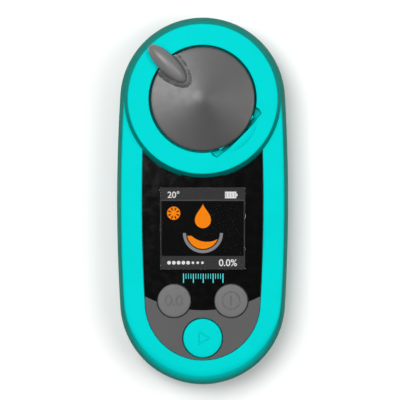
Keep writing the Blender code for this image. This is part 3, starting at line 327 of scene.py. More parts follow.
def link_bump(tree, shader, heights):
    """Chains bumps of (height source, depth in metres)."""
    normal = None
    for source, depth in heights:
        bump = tree.nodes.new("ShaderNodeBump")
        bump.inputs["Strength"].default_value = 1.0
        bump.inputs["Distance"].default_value = depth
        tree.links.new(source, bump.inputs["Height"])
        if normal:
            tree.links.new(normal, bump.inputs["Normal"])
        normal = bump.outputs["Normal"]
    tree.links.new(normal, shader.inputs["Normal"])


def new_finish(name):
    """A new material that pieces find by its name, its tree, its shader and object coordinates."""
    material = bpy.data.materials.new(name)
    FINISHES[name] = material
    material.use_nodes = True
    tree = material.node_tree
    shader = tree.nodes["Principled BSDF"]
    place = tree.nodes.new("ShaderNodeTexCoord").outputs["Object"]
    return material, tree, shader, place


def tinted(colour, share):
    """The colour made lighter or darker by a share."""
    return tuple(min(1.0, channel * share) for channel in colour)


def plastic(name, colour, roughness, grain=0.16 * MM, depth=0.004 * MM, mottle=0.05, gloss=0.5, flank=None):
    """Moulded plastic: spark-eroded grain, flow marks, handling shine and, if told, painted shade on steep
    flanks.
    """
    material, tree, shader, place = new_finish(name)
    flow = link_noise(tree, place, 9 * MM, 3)
    shine = link_noise(tree, place, 2.2 * MM, 4)
    fine = link_noise(tree, place, grain, 2)
    hairs = link_noise(tree, place, 0.5 * MM, 2, stretch=(1, 9, 1))
    colour_out = link_blend(
        tree, link_range(tree, flow, 0, 1), tinted(colour, 1 - mottle), tinted(colour, 1 + mottle),
    )
    # Painted shade: faces that turn from upward to steep blend into the darker flank colour, standing in for
    # the shade on the case's sides.
    if flank:
        split = tree.nodes.new("ShaderNodeSeparateXYZ")
        tree.links.new(tree.nodes["Texture Coordinate"].outputs["Normal"], split.inputs["Vector"])
        painted_shade_mask = link_range(tree, split.outputs["Z"], 0, 1, 0.3, 0.85)
        colour_out = link_blend(tree, painted_shade_mask, flank, colour_out)
    tree.links.new(colour_out, shader.inputs["Base Color"])
    tree.links.new(link_range(tree, shine, roughness - 0.03, roughness + 0.03), shader.inputs["Roughness"])
    shader.inputs["Specular IOR Level"].default_value = gloss
    link_bump(tree, shader, [(fine, depth), (hairs, depth * 0.3)])
    return material


def metal(name, colour, roughness, brush=(1, 1, 14), depth=0.002 * MM):
    """Worked metal: fine tool marks and a little uneven tarnish."""
    material, tree, shader, place = new_finish(name)
    shader.inputs["Metallic"].default_value = 1.0
    lines = link_noise(tree, place, 0.3 * MM, 3, stretch=brush)
    tarnish = link_noise(tree, place, 1.6 * MM, 4)
    colour_out = link_blend(tree, link_range(tree, tarnish, 0, 1), tinted(colour, 0.82), colour)
    tree.links.new(colour_out, shader.inputs["Base Color"])
    tree.links.new(link_range(tree, lines, roughness - 0.07, roughness + 0.09), shader.inputs["Roughness"])
    link_bump(tree, shader, [(lines, depth)])
    return material


def clear(name, tint, roughness=0.03, gloss=0.5):
    """Clear glass or acrylic with a trace of handling haze."""
    material, tree, shader, place = new_finish(name)
    shader.inputs["Transmission Weight"].default_value = 1.0
    shader.inputs["IOR"].default_value = 1.49
    shader.inputs["Specular IOR Level"].default_value = gloss
    haze = link_noise(tree, place, 3 * MM, 4)
    colour_out = link_blend(tree, link_range(tree, haze, 0, 1), tinted(tint, 0.985), tint)
    tree.links.new(colour_out, shader.inputs["Base Color"])
    tree.links.new(link_range(tree, haze, roughness, roughness + 0.03), shader.inputs["Roughness"])
    return material


def circuit_green():
    """Solder mask with copper tracks that show through as lighter bands."""
    material, tree, shader, place = new_finish("board_green")
    tracks = tree.nodes.new("ShaderNodeTexWave")
    tracks.wave_type = "BANDS"
    tracks.bands_direction = "DIAGONAL"
    tracks.inputs["Scale"].default_value = 90
    tracks.inputs["Distortion"].default_value = 6
    tracks.inputs["Detail"].default_value = 1
    tree.links.new(place, tracks.inputs["Vector"])
    wide = link_range(tree, tracks.outputs["Fac"], 0, 1, 0.62, 0.7)
    colour_out = link_blend(tree, wide, (0.006, 0.075, 0.028), (0.018, 0.16, 0.06))
    tree.links.new(colour_out, shader.inputs["Base Color"])
    tree.links.new(link_range(tree, tracks.outputs["Fac"], 0.5, 0.32), shader.inputs["Roughness"])
    link_bump(tree, shader, [(wide, 0.02 * MM)])
    return material


def cell_sleeve():
    """Printed sleeve of a dry cell: a dark body with a copper-toned band at its head."""
    material, tree, shader, place = new_finish("cell_sleeve")
    rub = link_noise(tree, place, 1.2 * MM, 4, stretch=(1, 0.2, 1))
    split = tree.nodes.new("ShaderNodeSeparateXYZ")
    tree.links.new(place, split.inputs["Vector"])
    band_y = -13.3 * MM
    band = link_range(tree, split.outputs["Y"], 0, 1, band_y - 0.1 * MM, band_y + 0.1 * MM)
    dark = link_blend(tree, link_range(tree, rub, 0, 1), (0.012, 0.016, 0.03), (0.03, 0.036, 0.055))
    colour_out = link_blend(tree, band, dark, (0.55, 0.27, 0.09))
    tree.links.new(colour_out, shader.inputs["Base Color"])
    shader.inputs["Metallic"].default_value = 0.55
    tree.links.new(link_range(tree, rub, 0.22, 0.38), shader.inputs["Roughness"])
    link_bump(tree, shader, [(rub, 0.003 * MM)])
    return material


def lit(name, colour, strength=1.0, uneven=0.05):
    """A lit patch of the display, with the backlight's slight unevenness."""
    material, tree, shader, place = new_finish(name)
    shader.inputs["Base Color"].default_value = (0, 0, 0, 1)
    shader.inputs["Roughness"].default_value = 0.4
    shader.inputs["Specular IOR Level"].default_value = 0.0
    glow = link_noise(tree, place, 7 * MM, 2)
    colour_out = link_blend(tree, link_range(tree, glow, 0, 1), tinted(colour, 1 - uneven), colour)
    tree.links.new(colour_out, shader.inputs["Emission Color"])
    shader.inputs["Emission Strength"].default_value = strength
    return material


TEAL = (0.0, 0.58, 0.56)
# Painted shade: a darker teal that stands in for the shade on the case's steep sides; teal_plastic blends to
# it on steep faces.
PAINTED_SHADE_TEAL = (0.0, 0.2, 0.155)
plastic("teal_plastic", TEAL, 0.5, mottle=0.02, gloss=0.012, flank=PAINTED_SHADE_TEAL)
# Painted shade: the whole back half and its battery door are made in the darker shade teal of the flanks.
shaded_back_teal = plastic("shaded_back_teal_plastic", PAINTED_SHADE_TEAL, 0.5, mottle=0.02, gloss=0.05)
plastic("lid_grey_plastic", (0.033, 0.0325, 0.032), 0.37, mottle=0.03, gloss=0.6)
plastic("grip_grey_plastic", (0.16, 0.155, 0.153), 0.38, mottle=0.03)
plastic("key_grey_plastic", (0.133, 0.131, 0.13), 0.6, grain=0.22 * MM, depth=0.006 * MM, gloss=0.3)
plastic("plate_grey_plastic", (0.082, 0.08, 0.082), 0.55, mottle=0.04, gloss=0.2)
plastic("black_gloss_panel", (0.0018, 0.0018, 0.002), 0.1, depth=0.0003 * MM, mottle=0.02, gloss=0.3)
plastic("black_plastic", (0.022, 0.022, 0.023), 0.58, mottle=0.15)
plastic("black_rubber", (0.016, 0.016, 0.016), 0.72, grain=0.3 * MM, depth=0.01 * MM)
plastic("white_plastic", (0.72, 0.72, 0.7), 0.5, mottle=0.02)
plastic("amber_film", (0.5, 0.24, 0.045), 0.32, grain=0.6 * MM, mottle=0.12)
metal("stainless_steel", (0.66, 0.65, 0.63), 0.2, brush=(1, 1, 6))
metal("spring_steel", (0.62, 0.6, 0.55), 0.3)
metal("zinc_plated_steel", (0.5, 0.5, 0.48), 0.34, brush=(6, 1, 1))
clear("optical_glass", (0.93, 0.97, 0.98))
window_pane = clear("window_pane", (0.97, 0.97, 0.97), 0.02, 0.15)
circuit_green()
cell_sleeve()
FINISHES["black_glass_panel"] = FINISHES["display_glass"] = FINISHES["black_gloss_panel"]
FINISHES["green_board"] = FINISHES["board_green"]


def finish_packed_parts():
    """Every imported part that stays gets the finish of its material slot."""
    for row in frame["record"]["subparts"]:
        part = frame["nodes"][row["node"]]
        part.data.materials.clear()
        part.data.materials.append(FINISHES[row["material_slot"]])


# Case shells


def outline():
    """Points of the case outline with their outward directions, counter-clockwise."""
    side_x = HALF_WIDTH - SIDE_RADIUS
    arcs = [
        (side_x, 0, SIDE_RADIUS, -SIDE_TILT, SIDE_TILT, SIDE_STEPS),
        (0, END_Y, END_RADIUS, SIDE_TILT, math.pi - SIDE_TILT, END_STEPS),
        (-side_x, 0, SIDE_RADIUS, math.pi - SIDE_TILT, math.pi + SIDE_TILT, SIDE_STEPS),
        (0, -END_Y, END_RADIUS, math.pi + SIDE_TILT, 2 * math.pi - SIDE_TILT, END_STEPS),
    ]
    points = []
    for x, y, radius, start, stop, steps in arcs:
        for k in range(steps):
            turn = start + (stop - start) * k / steps
            out = Vector((math.cos(turn), math.sin(turn), 0))
            points.append((Vector((x, y, 0)) + radius * out, out))
    return points


def foot_share(y):
    """0 along the case, rising smoothly to 1 at the foot."""
    share = min(max((-y / HALF_LENGTH - 0.5) * 2, 0), 1)
    return share * share * (3 - 2 * share)


def outlined(name, rings):
    """A solid of rings along the case outline, each (inset, height, extra inset at the foot)."""
    points = outline()
    count = len(points)
    begin("circle", vertices=count, radius=1, location=(0, 0, 0))
    for _ in rings[1:]:
        bpy.ops.mesh.extrude_region_move(TRANSFORM_OT_translate={"value": (0, 0, 1)})
    select_rims()
    bpy.ops.mesh.edge_face_add()
    mode("OBJECT")
    for corner in bpy.context.object.data.vertices:
        spot = round(math.atan2(corner.co.y, corner.co.x) / (2 * math.pi) * count) % count
        inset, height, foot = rings[round(corner.co.z)]
        point, out = points[spot]
        drawn = point - out * (inset + foot * foot_share(point.y))
        corner.co = (drawn.x, drawn.y, height)
    mode("EDIT")
    return close(name)


def recess_rings(inset, low, high, flare):
    """Rings of a straight-sided cutter that flares a little at the face that it cuts."""
    return [
        (inset, low, 0),
        (inset, high - flare, 0),
        (inset - 0.3 * flare, high - 0.3 * flare, 0),
        (inset - flare, high, 0),
        (inset - 1.6 * flare, high + flare, 0),
    ]


def foot_draw(height):
    """How far the foot is drawn in over the rest of the case, on a soft elliptical curve."""
    share = min((height - SHOULDER_Z) / (FACE_Z - SHOULDER_Z), 1)
    return FOOT_DRAW * (1 - math.sqrt(1 - share * share))


def shoulder_rings():
    """From the seam up the leaning flank and over its fillet to the flat face."""
    edge_z = SEAM_Z + 0.3 * MM
    rings = [(0.22 * MM, SEAM_Z, 0), (0.06 * MM, SEAM_Z + 0.1 * MM, 0), (0, edge_z, 0)]
    shoulder_in = 0.35 * MM
    for k in range(1, 4):
        share = k / 4
        rings.append((shoulder_in * share * share, edge_z + (SHOULDER_Z - edge_z) * share, 0))
    flank_in = 1.35 * MM
    fillet = 0.95 * MM
    flank_z = FACE_Z - 0.85 * MM
    steps = 10
    for k in range(steps + 1):
        share = k / steps
        drawn = shoulder_in + (flank_in - shoulder_in) * share ** 1.25
        height = SHOULDER_Z + (flank_z - SHOULDER_Z) * share
        rings.append((drawn, height, foot_draw(height)))
    for k in range(1, steps + 1):
        turn = math.pi / 2 * k / steps
        height = flank_z + (FACE_Z - flank_z) * math.sin(turn)
        rings.append((flank_in + fillet * (1 - math.cos(turn)), height, foot_draw(height)))
    rings.append((flank_in + fillet + 0.25 * MM, FACE_Z, FOOT_DRAW))
    return rings


def arc_profile(centre_r, centre_z, radius, start, stop, steps=6):
    """Points of a fillet in a turned profile, between two angles in degrees."""
    turns = [math.radians(start + (stop - start) * k / steps) for k in range(steps + 1)]
    return [(centre_r + radius * math.cos(t), centre_z + radius * math.sin(t)) for t in turns]


def collar():
    """The round collar, from below the face up its leaning side to its flat top."""
    edge = 0.6 * MM
    foot_z = FACE_Z - 2.1 * MM
    profile = [
        (0, foot_z),
        (COLLAR_BASE_RADIUS, foot_z),
        (COLLAR_BASE_RADIUS, FACE_Z - 0.8 * MM),
        (COLLAR_BASE_RADIUS - 0.15 * MM, FACE_Z - 0.3 * MM),
        (COLLAR_BASE_RADIUS - 0.45 * MM, FACE_Z + 0.4 * MM),
        (COLLAR_BASE_RADIUS - 0.9 * MM, FACE_Z + 1.5 * MM),
    ]
    profile += arc_profile(COLLAR_TOP_RADIUS - edge, COLLAR_Z - edge, edge, 12, 90)
    profile += [(COLLAR_TOP_RADIUS - edge - 0.2 * MM, COLLAR_Z), (0, COLLAR_Z)]
    return turned("collar_tool", profile, steps=160)


def well_cutter():
    """The round well, with a fillet at its floor and a rounded rim."""
    rim = 0.45 * MM
    root = 0.5 * MM
    above = COLLAR_Z + 3 * MM
    profile = [(0, WELL_FLOOR_Z)]
    profile += arc_profile(WELL_RADIUS - root, WELL_FLOOR_Z + root, root, -90, 0, 4)
    profile += arc_profile(WELL_RADIUS + rim, COLLAR_Z - rim, rim, 180, 90, 5)
    profile += [(WELL_RADIUS + rim, above), (0, above)]
    return turned("well_cutter", profile, steps=160)


def spindle(name, half, end_radius, swell, power):
    """A bar along Z that swells from its ends to its middle."""
    steps = 24
    profile = [(0, -half)]
    for k in range(steps + 1):
        along = half * (2 * k / steps - 1)
        profile.append((end_radius + swell * (1 - (along / half) ** 2) ** power, along))
    profile.append((0, half))
    return turned(name, profile, Vector(), 96)


def scoop_cutters():
    """The soft dish in the collar beside the lid, and the room that the lid's tail turns in."""
    lift = 4.2 * MM
    reach = 16.3 * MM
    place = WELL + HINGE_OUT * reach + Vector((0, 0, COLLAR_Z + lift))
    dish = spindle("scoop_dish", half=8.4 * MM, end_radius=lift, swell=1.45 * MM, power=1.2)
    room = spindle("scoop_room", half=11 * MM, end_radius=0.5 * MM, swell=1.75 * MM, power=0.1)
    return moved(dish, Matrix.Translation(place) @ hinge_turn()), moved(room, hinge_place())


def screw_places():
    """Centre of each case screw in plan."""
    places = []
    for number in range(1, 5):
        low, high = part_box(f"case_screw_{number}")
        places.append(Vector(((low.x + high.x) / 2, (low.y + high.y) / 2, 0)))
    return places


def key_rows():
    """Name, centre, cap radius, foot and top height of each key."""
    rows = []
    for name in ("zero_button", "power_button", "start_button"):
        low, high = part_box(name)
        centre = Vector(((low.x + high.x) / 2, (low.y + high.y) / 2, 0))
        radius = (high.x - low.x) / 2 - KEY_FLANGE
        rows.append((name, centre, radius, low.z, high.z))
    return rows


def key_cutters(low, high, tag):
    """Round holes that clear the keys' caps."""
    return [
        round_bar(f"{name}_{tag}", radius + KEY_AIR, low, high, centre=centre, steps=96)
        for name, centre, radius, _, _ in key_rows()
    ]


def hinge_bar(name, radius, start, stop, steps):
    """A round bar on the lid's hinge axis."""
    return moved(round_bar(name, radius, start, stop, steps=steps), hinge_place())


def hinge_foot(name, start, stop, low, reach_in, reach_out):
    """A block from the hinge axis down to the well floor, beside the lid's barrel."""
    shape = box_shape(name, (-reach_in, start, low - HINGE_POINT.z), (reach_out, stop, 0))
    turn = Matrix.Rotation(HINGE_TURN, 4, "Z")
    return moved(shape, Matrix.Translation(HINGE_POINT) @ turn)


def make_front_shell():
    """The front half of the case, with its collar, sample well, panel recess and hinge ears."""
    shell = outlined("front_shell", shoulder_rings())
    cavity = outlined("front_cavity", [
        (WALL, SEAM_Z - MM, 0),
        (WALL, ROOF_Z - 1.2 * MM, 0),
        (WALL + 0.3 * MM, ROOF_Z - 0.4 * MM, 0.2 * MM),
        (WALL + MM, ROOF_Z, 0.4 * MM),
    ])
    recess = outlined("panel_recess", recess_rings(PANEL_INSET - PANEL_AIR, RECESS_Z, FACE_Z, 0.12 * MM))
    carve(shell, "DIFFERENCE", cavity, recess)
    bosses = [
        round_bar("screw_boss", SCREW_BOSS_RADIUS, SEAM_Z, RECESS_Z - 0.5 * MM, centre=place)
        for place in screw_places()
    ]
    boss = round_bar("well_boss", 20 * MM, WELL_BOSS_Z, FACE_Z - 0.6 * MM, centre=WELL, steps=96)
    carve(shell, "UNION", boss, *bosses, collar())
    below = ROOF_Z - MM
    air = 0.5 * MM
    opening = box_shape(
        "display_opening", (LCD_LOW.x - air, LCD_LOW.y - air, below),
        (LCD_HIGH.x + air, LCD_HIGH.y + air, FACE_Z),
    )
    film_low, film_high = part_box("display_film")
    notch = box_shape(
        "film_notch",
        (film_low.x - MM, LCD_HIGH.y - 2 * MM, below),
        (film_high.x + MM, LCD_HIGH.y + 1.7 * MM, WINDOW_LOW.z - 0.02 * MM),
    )
    dish_hole = round_bar(
        "dish_hole", 11.3 * MM, WELL_BOSS_Z - MM, WELL_FLOOR_Z + 0.5 * MM, centre=WELL, steps=96,
    )
    pilots = [
        round_bar("pilot", 1.3 * MM, SEAM_Z - MM, SEAM_Z + 3.5 * MM, centre=place, steps=20)
        for place in screw_places()
    ]
    carve(
        shell, "DIFFERENCE", opening, notch, well_cutter(), dish_hole, *scoop_cutters(),
        *key_cutters(below, FACE_Z + MM, "case_hole"), *pilots,
    )
    inner = BARREL_HALF + EAR_AIR
    for side in (-1, 1):
        start, stop = sorted((side * inner, side * (inner + EAR_WIDTH)))
        eye = hinge_bar("ear_eye", EAR_RADIUS, start, stop, 40)
        foot = hinge_foot("ear_foot", start, stop, WELL_FLOOR_Z - 0.5 * MM, EAR_RADIUS, 0.25 * MM)
        carve(shell, "UNION", foot, eye)
    reach = inner + EAR_WIDTH + MM
    carve(shell, "DIFFERENCE", hinge_bar("pin_bore", 0.5 * MM, -reach, reach, 20))
    place_piece(smooth(shell), "case", "teal_plastic", "front_case")


def back_rings():
    """From the flat back over its round edge and up to the seam."""
    edge_in = 3.0 * MM
    edge_up = 4.0 * MM
    rings = [(edge_in + 0.3 * MM, 0, 0)]
    steps = 12
    for k in range(steps + 1):
        turn = math.pi / 2 * k / steps
        rings.append((edge_in * (1 - math.sin(turn)), edge_up * (1 - math.cos(turn)), 0))
    for k in range(1, 4):
        rings.append((0, edge_up + (SEAM_LOW_Z - edge_up - 0.3 * MM) * k / 3, 0))
    rings += [(0.06 * MM, SEAM_LOW_Z - 0.1 * MM, 0), (0.22 * MM, SEAM_LOW_Z, 0)]
    return rings


def nail_cutter():
    """The shallow nail slot at the foot of the battery door, half in the case and half in the door."""
    centre = Vector((0, DOOR_LOW.y + 0.2 * MM, -2.3 * MM))
    return round_bar("nail_slot", 3.6 * MM, -5 * MM, 5 * MM, "X", centre, 64)


def door_pin_bore(overrun):
    """The bore of the battery door's pin, so far past the door at both ends."""
    start, stop = DOOR_LOW.x - overrun, DOOR_HIGH.x + overrun
    return round_bar("pin_bore", DOOR_PIN_BORE, start, stop, "X", Vector((0, BARREL_Y, BARREL_Z)), 20)


def screw_bore(place):
    """A chamfered head bore from the back and the bore of its shank."""
    mouth, head, depth = 2.75 * MM, 2.3 * MM, 5.8 * MM
    profile = [
        (0, -MM), (mouth, -MM), (mouth, -0.02 * MM), (head, 0.4 * MM), (head, depth), (0, depth),
    ]
    shank = round_bar("shank_bore", 1.3 * MM, 5 * MM, SEAM_LOW_Z + MM, centre=place, steps=24)
    return turned("screw_bore", profile, place, 48), shank


def make_rear_shell():
    """The back half of the case, with its battery bay, screw bosses and the door's recess."""
    shell = outlined("rear_shell", back_rings())
    cavity = outlined("rear_cavity", [
        (WALL + 1.8 * MM, 2.0 * MM, 0),
        (WALL + 0.9 * MM, 2.4 * MM, 0),
        (WALL + 0.4 * MM, 3.2 * MM, 0),
        (WALL, 5.0 * MM, 0),
        (WALL, SEAM_LOW_Z + MM, 0),
    ])
    carve(shell, "DIFFERENCE", cavity)
    cell_low, cell_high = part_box("cell_left")
    bay_half = -cell_low.x + 0.55 * MM
    bay_foot = -50.3 * MM
    bay_head = DOOR_HIGH.y - 1.2 * MM
    roof = cell_high.z + 0.3 * MM
    bay_wall = 1.9 * MM
    walls = box_shape(
        "bay_walls", (-bay_half - bay_wall, bay_foot - bay_wall, MM),
        (bay_half + bay_wall, bay_head + 2.3 * MM, roof + MM), 0.4 * MM,
    )
    bosses = [
        round_bar("boss", SCREW_BOSS_RADIUS, MM, SEAM_LOW_Z, centre=place) for place in screw_places()
    ]
    carve(shell, "UNION", walls, *bosses)
    bay = box_shape("bay", (-bay_half, bay_foot, -MM), (bay_half, bay_head, roof))
    knuckle_y = bay_head + 0.2 * MM
    recess = box_shape(
        "door_recess", (DOOR_LOW.x - DOOR_AIR, DOOR_LOW.y - DOOR_AIR, -2 * MM),
        (DOOR_HIGH.x + DOOR_AIR, knuckle_y, DOOR_LOW.z + 1.9 * MM),
    )
    round_corners(recess, 2.3 * MM)
    knuckle_room = box_shape(
        "knuckle_room", (DOOR_LOW.x - DOOR_AIR, knuckle_y - 3 * MM, -MM),
        (DOOR_HIGH.x + DOOR_AIR, knuckle_y + 1.3 * MM, DOOR_LOW.z + 2.3 * MM),
    )
    bores = [bore for place in screw_places() for bore in screw_bore(place)]
    pin = door_pin_bore(1.8 * MM)
    carve(shell, "DIFFERENCE", bay, recess, knuckle_room, *bores, nail_cutter(), pin)
    # The back half takes the painted shade teal.
    place_piece(smooth(shell), "case", "teal_plastic", "rear_case", finish=shaded_back_teal)


def round_corners(shape, radius, segments=8):
    """Rounds a block's upright edges."""
    pick(shape)
    mode("EDIT")
    bpy.ops.mesh.select_mode(type="EDGE")
    bpy.ops.mesh.select_all(action="DESELECT")
    mode("OBJECT")
    corners = shape.data.vertices
    for edge in shape.data.edges:
        start, stop = (corners[k].co for k in edge.vertices)
        edge.select = (start - stop).xy.length < 0.001 * MM
    mode("EDIT")
    bpy.ops.mesh.bevel(offset=radius, segments=segments, affect="EDGES")
    bpy.ops.mesh.select_mode(type="VERT")
    return close(shape.name)


def make_battery_door():
    """A flat door with a hinge barrel at its head, finger ribs and a nail notch at its foot."""
    door = box_shape("battery_door_panel", DOOR_LOW, (DOOR_HIGH.x, BARREL_Y, DOOR_LOW.z + 1.6 * MM))
    round_corners(door, 2 * MM)
    hinge = Vector((0, BARREL_Y, BARREL_Z))
    barrel = round_bar("barrel", MM, DOOR_LOW.x, DOOR_HIGH.x, "X", hinge, 40)
    carve(door, "UNION", barrel)
    ribs = []
    for k in range(6):
        place = Vector((0, DOOR_LOW.y + (5 + 1.5 * k) * MM, DOOR_LOW.z - 0.2 * MM))
        ribs.append(round_bar("rib_groove", 0.55 * MM, -6 * MM, 6 * MM, "X", place, 24, 0.2 * MM))
    carve(door, "DIFFERENCE", *ribs, nail_cutter(), door_pin_bore(MM))
    # The door takes the painted shade teal of the back half.
    place_piece(smooth(door), "battery_door", "teal_plastic", "battery_door", finish=shaded_back_teal)


# Front panel


def panel_slab(name, low, high, inset):
    """A slab inside the case outline, with a fine round edge at its top."""
    edge = 0.08 * MM
    return outlined(name, [
        (inset, low, 0),
        (inset, high - edge, 0),
        (inset + 0.3 * edge, high - 0.3 * edge, 0),
        (inset + edge, high, 0),
    ])


def make_panel():
    """The glossy window with its clear pane, and the grey plate round the lower keys."""
    low, high = WINDOW_LOW.z, WINDOW_HIGH.z
    below, above = low - MM, high + MM
    inset = PANEL_INSET + PANEL_AIR
    window = panel_slab("window_panel", low, high, inset)
    arc_centre = Vector((0, ARC_Y, 0))
    arc = round_bar("key_arc", ARC_RADIUS - ARC_AIR, below, above, centre=arc_centre, steps=256)
    head = round_bar("collar_edge", COLLAR_BASE_RADIUS + PANEL_AIR, below, above, centre=WELL, steps=160)
    carve(window, "INTERSECT", arc)
    pane_low = (-SCREEN_HALF_X, SCREEN_LOW_Y, below)
    pane_high = (SCREEN_HALF_X, SCREEN_HIGH_Y, above)
    hole = box_shape("screen_hole", pane_low, pane_high)
    carve(window, "DIFFERENCE", head, hole, *key_cutters(below, above, "window_hole"))
    place_piece(smooth(window), "case", "black_glass_panel", "display_window")
    pane = box_shape(
        "screen_pane", (pane_low[0], pane_low[1], low), (pane_high[0], pane_high[1], high), 0.02 * MM, 1,
    )
    place_piece(pane, "case", "black_glass_panel", finish=window_pane)
    plate = panel_slab("keypad_panel", low, high, inset)
    arc = round_bar("key_arc", ARC_RADIUS + ARC_AIR, below, above, centre=arc_centre, steps=256)
    upper = box_shape("upper_side", (-0.1, ARC_Y, below - MM), (0.1, 0.1, above + MM))
    carve(plate, "DIFFERENCE", upper, arc, *key_cutters(below, above, "plate_hole"))
    place_piece(smooth(plate), "case", "plate_grey_plastic", "keypad_plate")


# Keys


def groove_ring(name, centre, radius_x, radius_y, width, z):
    """A round or oval groove cutter."""
    thick = width / 2 / radius_x
    begin("torus", major_radius=1, minor_radius=thick, major_segments=64, minor_segments=12)
    shape = close(name)
    grow = Matrix.Diagonal((radius_x, radius_y, radius_x, 1))
    return moved(shape, Matrix.Translation(centre + Vector((0, 0, z))) @ grow)


def groove_bar(name, start, stop, width, z):
    """A straight groove cutter with rounded ends."""
    along = Vector((stop[0] - start[0], stop[1] - start[1], 0))
    middle = Vector(((start[0] + stop[0]) / 2, (start[1] + stop[1]) / 2, z))
    begin("uv_sphere", segments=16, ring_count=12, radius=width / 2)
    mode("OBJECT")
    for corner in bpy.context.object.data.vertices:
        if abs(corner.co.x) > 1e-9:
            corner.co.x += math.copysign(along.length / 2, corner.co.x)
    mode("EDIT")
    shape = close(name)
    turn = Matrix.Rotation(math.atan2(along.y, along.x), 4, "Z")
    return moved(shape, Matrix.Translation(middle) @ turn)


def zero_marks(centre, z):
    """A zero with a dot and a second zero."""
    aside = Vector((1.75 * MM, 0, 0))
    dot = centre - Vector((0, 1.25 * MM, 0))
    dot_half = 0.02 * MM
    return [
        groove_ring("zero_groove", centre - aside, 0.95 * MM, 1.45 * MM, GROOVE_WIDTH, z),
        groove_ring("zero_groove", centre + aside, 0.95 * MM, 1.45 * MM, GROOVE_WIDTH, z),
        groove_bar("dot_groove", (dot.x - dot_half, dot.y), (dot.x + dot_half, dot.y), 1.2 * GROOVE_WIDTH, z),
    ]


def power_marks(centre, z):
    """A ring with an upright bar."""
    x, y = centre.xy
    ring, half = 2.85 * MM, 1.45 * MM
    return [
        groove_ring("power_groove", centre, ring, ring, GROOVE_WIDTH, z),
        groove_bar("power_bar", (x, y - half), (x, y + half), GROOVE_WIDTH, z),
    ]


def start_marks(centre, z):
    """A triangle that points right."""
    reach = 2.3 * MM
    corners = []
    for degrees in (0, 120, 240):
        turn = math.radians(degrees)
        corners.append((centre.x + reach * math.cos(turn), centre.y + reach * math.sin(turn)))
    ends = zip(corners, corners[1:] + corners[:1])
    return [groove_bar("start_groove", start, stop, GROOVE_WIDTH, z) for start, stop in ends]


def make_keys():
    """Three round keys with a flange below, a soft edge, a slight crown and a sign cut into it."""
    looks = {
        "zero_button": (zero_marks, "key_grey_plastic"),
        "power_button": (power_marks, "key_grey_plastic"),
        "start_button": (start_marks, "teal_plastic"),
    }
    edge = 0.55 * MM
    crown = 0.12 * MM
    for name, centre, radius, low, high in key_rows():
        marks, slot = looks[name]
        flange, flange_z = radius + KEY_FLANGE, low + 0.7 * MM
        profile = [(0, low), (flange, low), (flange, flange_z), (radius, flange_z)]
        profile += arc_profile(radius - edge, high - crown - edge, edge, 0, 72, 8)
        inner, crown_z = profile[-1]
        for k in range(1, 5):
            share = 1 - k / 5
            profile.append((inner * share, high - (high - crown_z) * share ** 2))
        profile.append((0, high))
        cap = turned(f"{name}_cap", profile, centre, 96)
        carve(cap, "DIFFERENCE", *marks(centre, high - 0.03 * MM))
        place_piece(smooth(cap), name, slot, name)


# Lid


def lid_height(reach):
    """Height of the lid's shallow cone, with its tip rounded, over a distance from its centre."""
    slope = (LID_TOP_Z - LID_RIM_Z) / LID_RADIUS
    tip = 2.6 * MM
    if reach > tip:
        return LID_TOP_Z - slope * reach
    return LID_TOP_Z - slope * (tip + reach * reach / tip) / 2


def grip_moat():
    """Cutter of the pocket round the grip: an oval with leaning sides that follows the lid's slope."""
    reach = GRIP_REACH - 5.7 * MM
    half = 5.0 * MM
    floor_share = 0.75
    depth = 0.6 * MM
    profile = [(0, 0), (floor_share, 0), (1, 1), (1.5, 3), (0, 3)]
    cone = turned("grip_moat", profile, Vector(), 128)
    slope = math.atan2(LID_TOP_Z - LID_RIM_Z, LID_RADIUS)
    place = WELL - HINGE_OUT * GRIP_REACH + Vector((0, 0, lid_height(GRIP_REACH) - depth))
    turn = Matrix.Rotation(HINGE_TURN, 4, "Z") @ Matrix.Rotation(-slope, 4, "Y")
    grow = Matrix.Diagonal((reach, half, depth, 1))
    return moved(cone, Matrix.Translation(place) @ turn @ grow)


def make_lid():
    """The round lid with its hinge barrel, slots for the ears and the pocket round the grip."""
    under = COLLAR_Z - 1.4 * MM
    pocket = under + 0.4 * MM
    pocket_radius = 12.9 * MM
    low_edge = 0.3 * MM
    edge = 0.5 * MM
    profile = [(0, pocket), (pocket_radius, pocket), (pocket_radius, under)]
    profile += arc_profile(LID_RADIUS - low_edge, under + low_edge, low_edge, -90, 0, 3)
    profile += arc_profile(LID_RADIUS - edge, LID_RIM_Z - edge + 0.06 * MM, edge, 0, 80, 8)
    rings = 28
    for k in range(1, rings + 1):
        reach = (LID_RADIUS - edge) * (1 - k / rings)
        profile.append((reach, lid_height(reach)))
    lid = turned("lid_shell", profile, steps=192)
    barrel = hinge_bar("lid_barrel", BARREL_RADIUS, -BARREL_HALF, BARREL_HALF, 48)
    carve(lid, "UNION", barrel)
    outer = BARREL_HALF + EAR_WIDTH + 2 * EAR_AIR
    room = EAR_RADIUS + EAR_AIR
    slots = []
    for side in (-1, 1):
        start, stop = sorted((side * BARREL_HALF, side * outer))
        slots.append(hinge_bar("ear_slot_eye", room, start, stop, 40))
        slots.append(hinge_foot("ear_slot", start, stop, under - MM, room, 4 * MM))
    bore = hinge_bar("pin_bore", 0.75 * MM, -BARREL_HALF - MM, BARREL_HALF + MM, 24)
    carve(lid, "DIFFERENCE", grip_moat(), *slots, bore)
    place_piece(smooth(lid), "lid", "lid_grey_plastic", "lid")


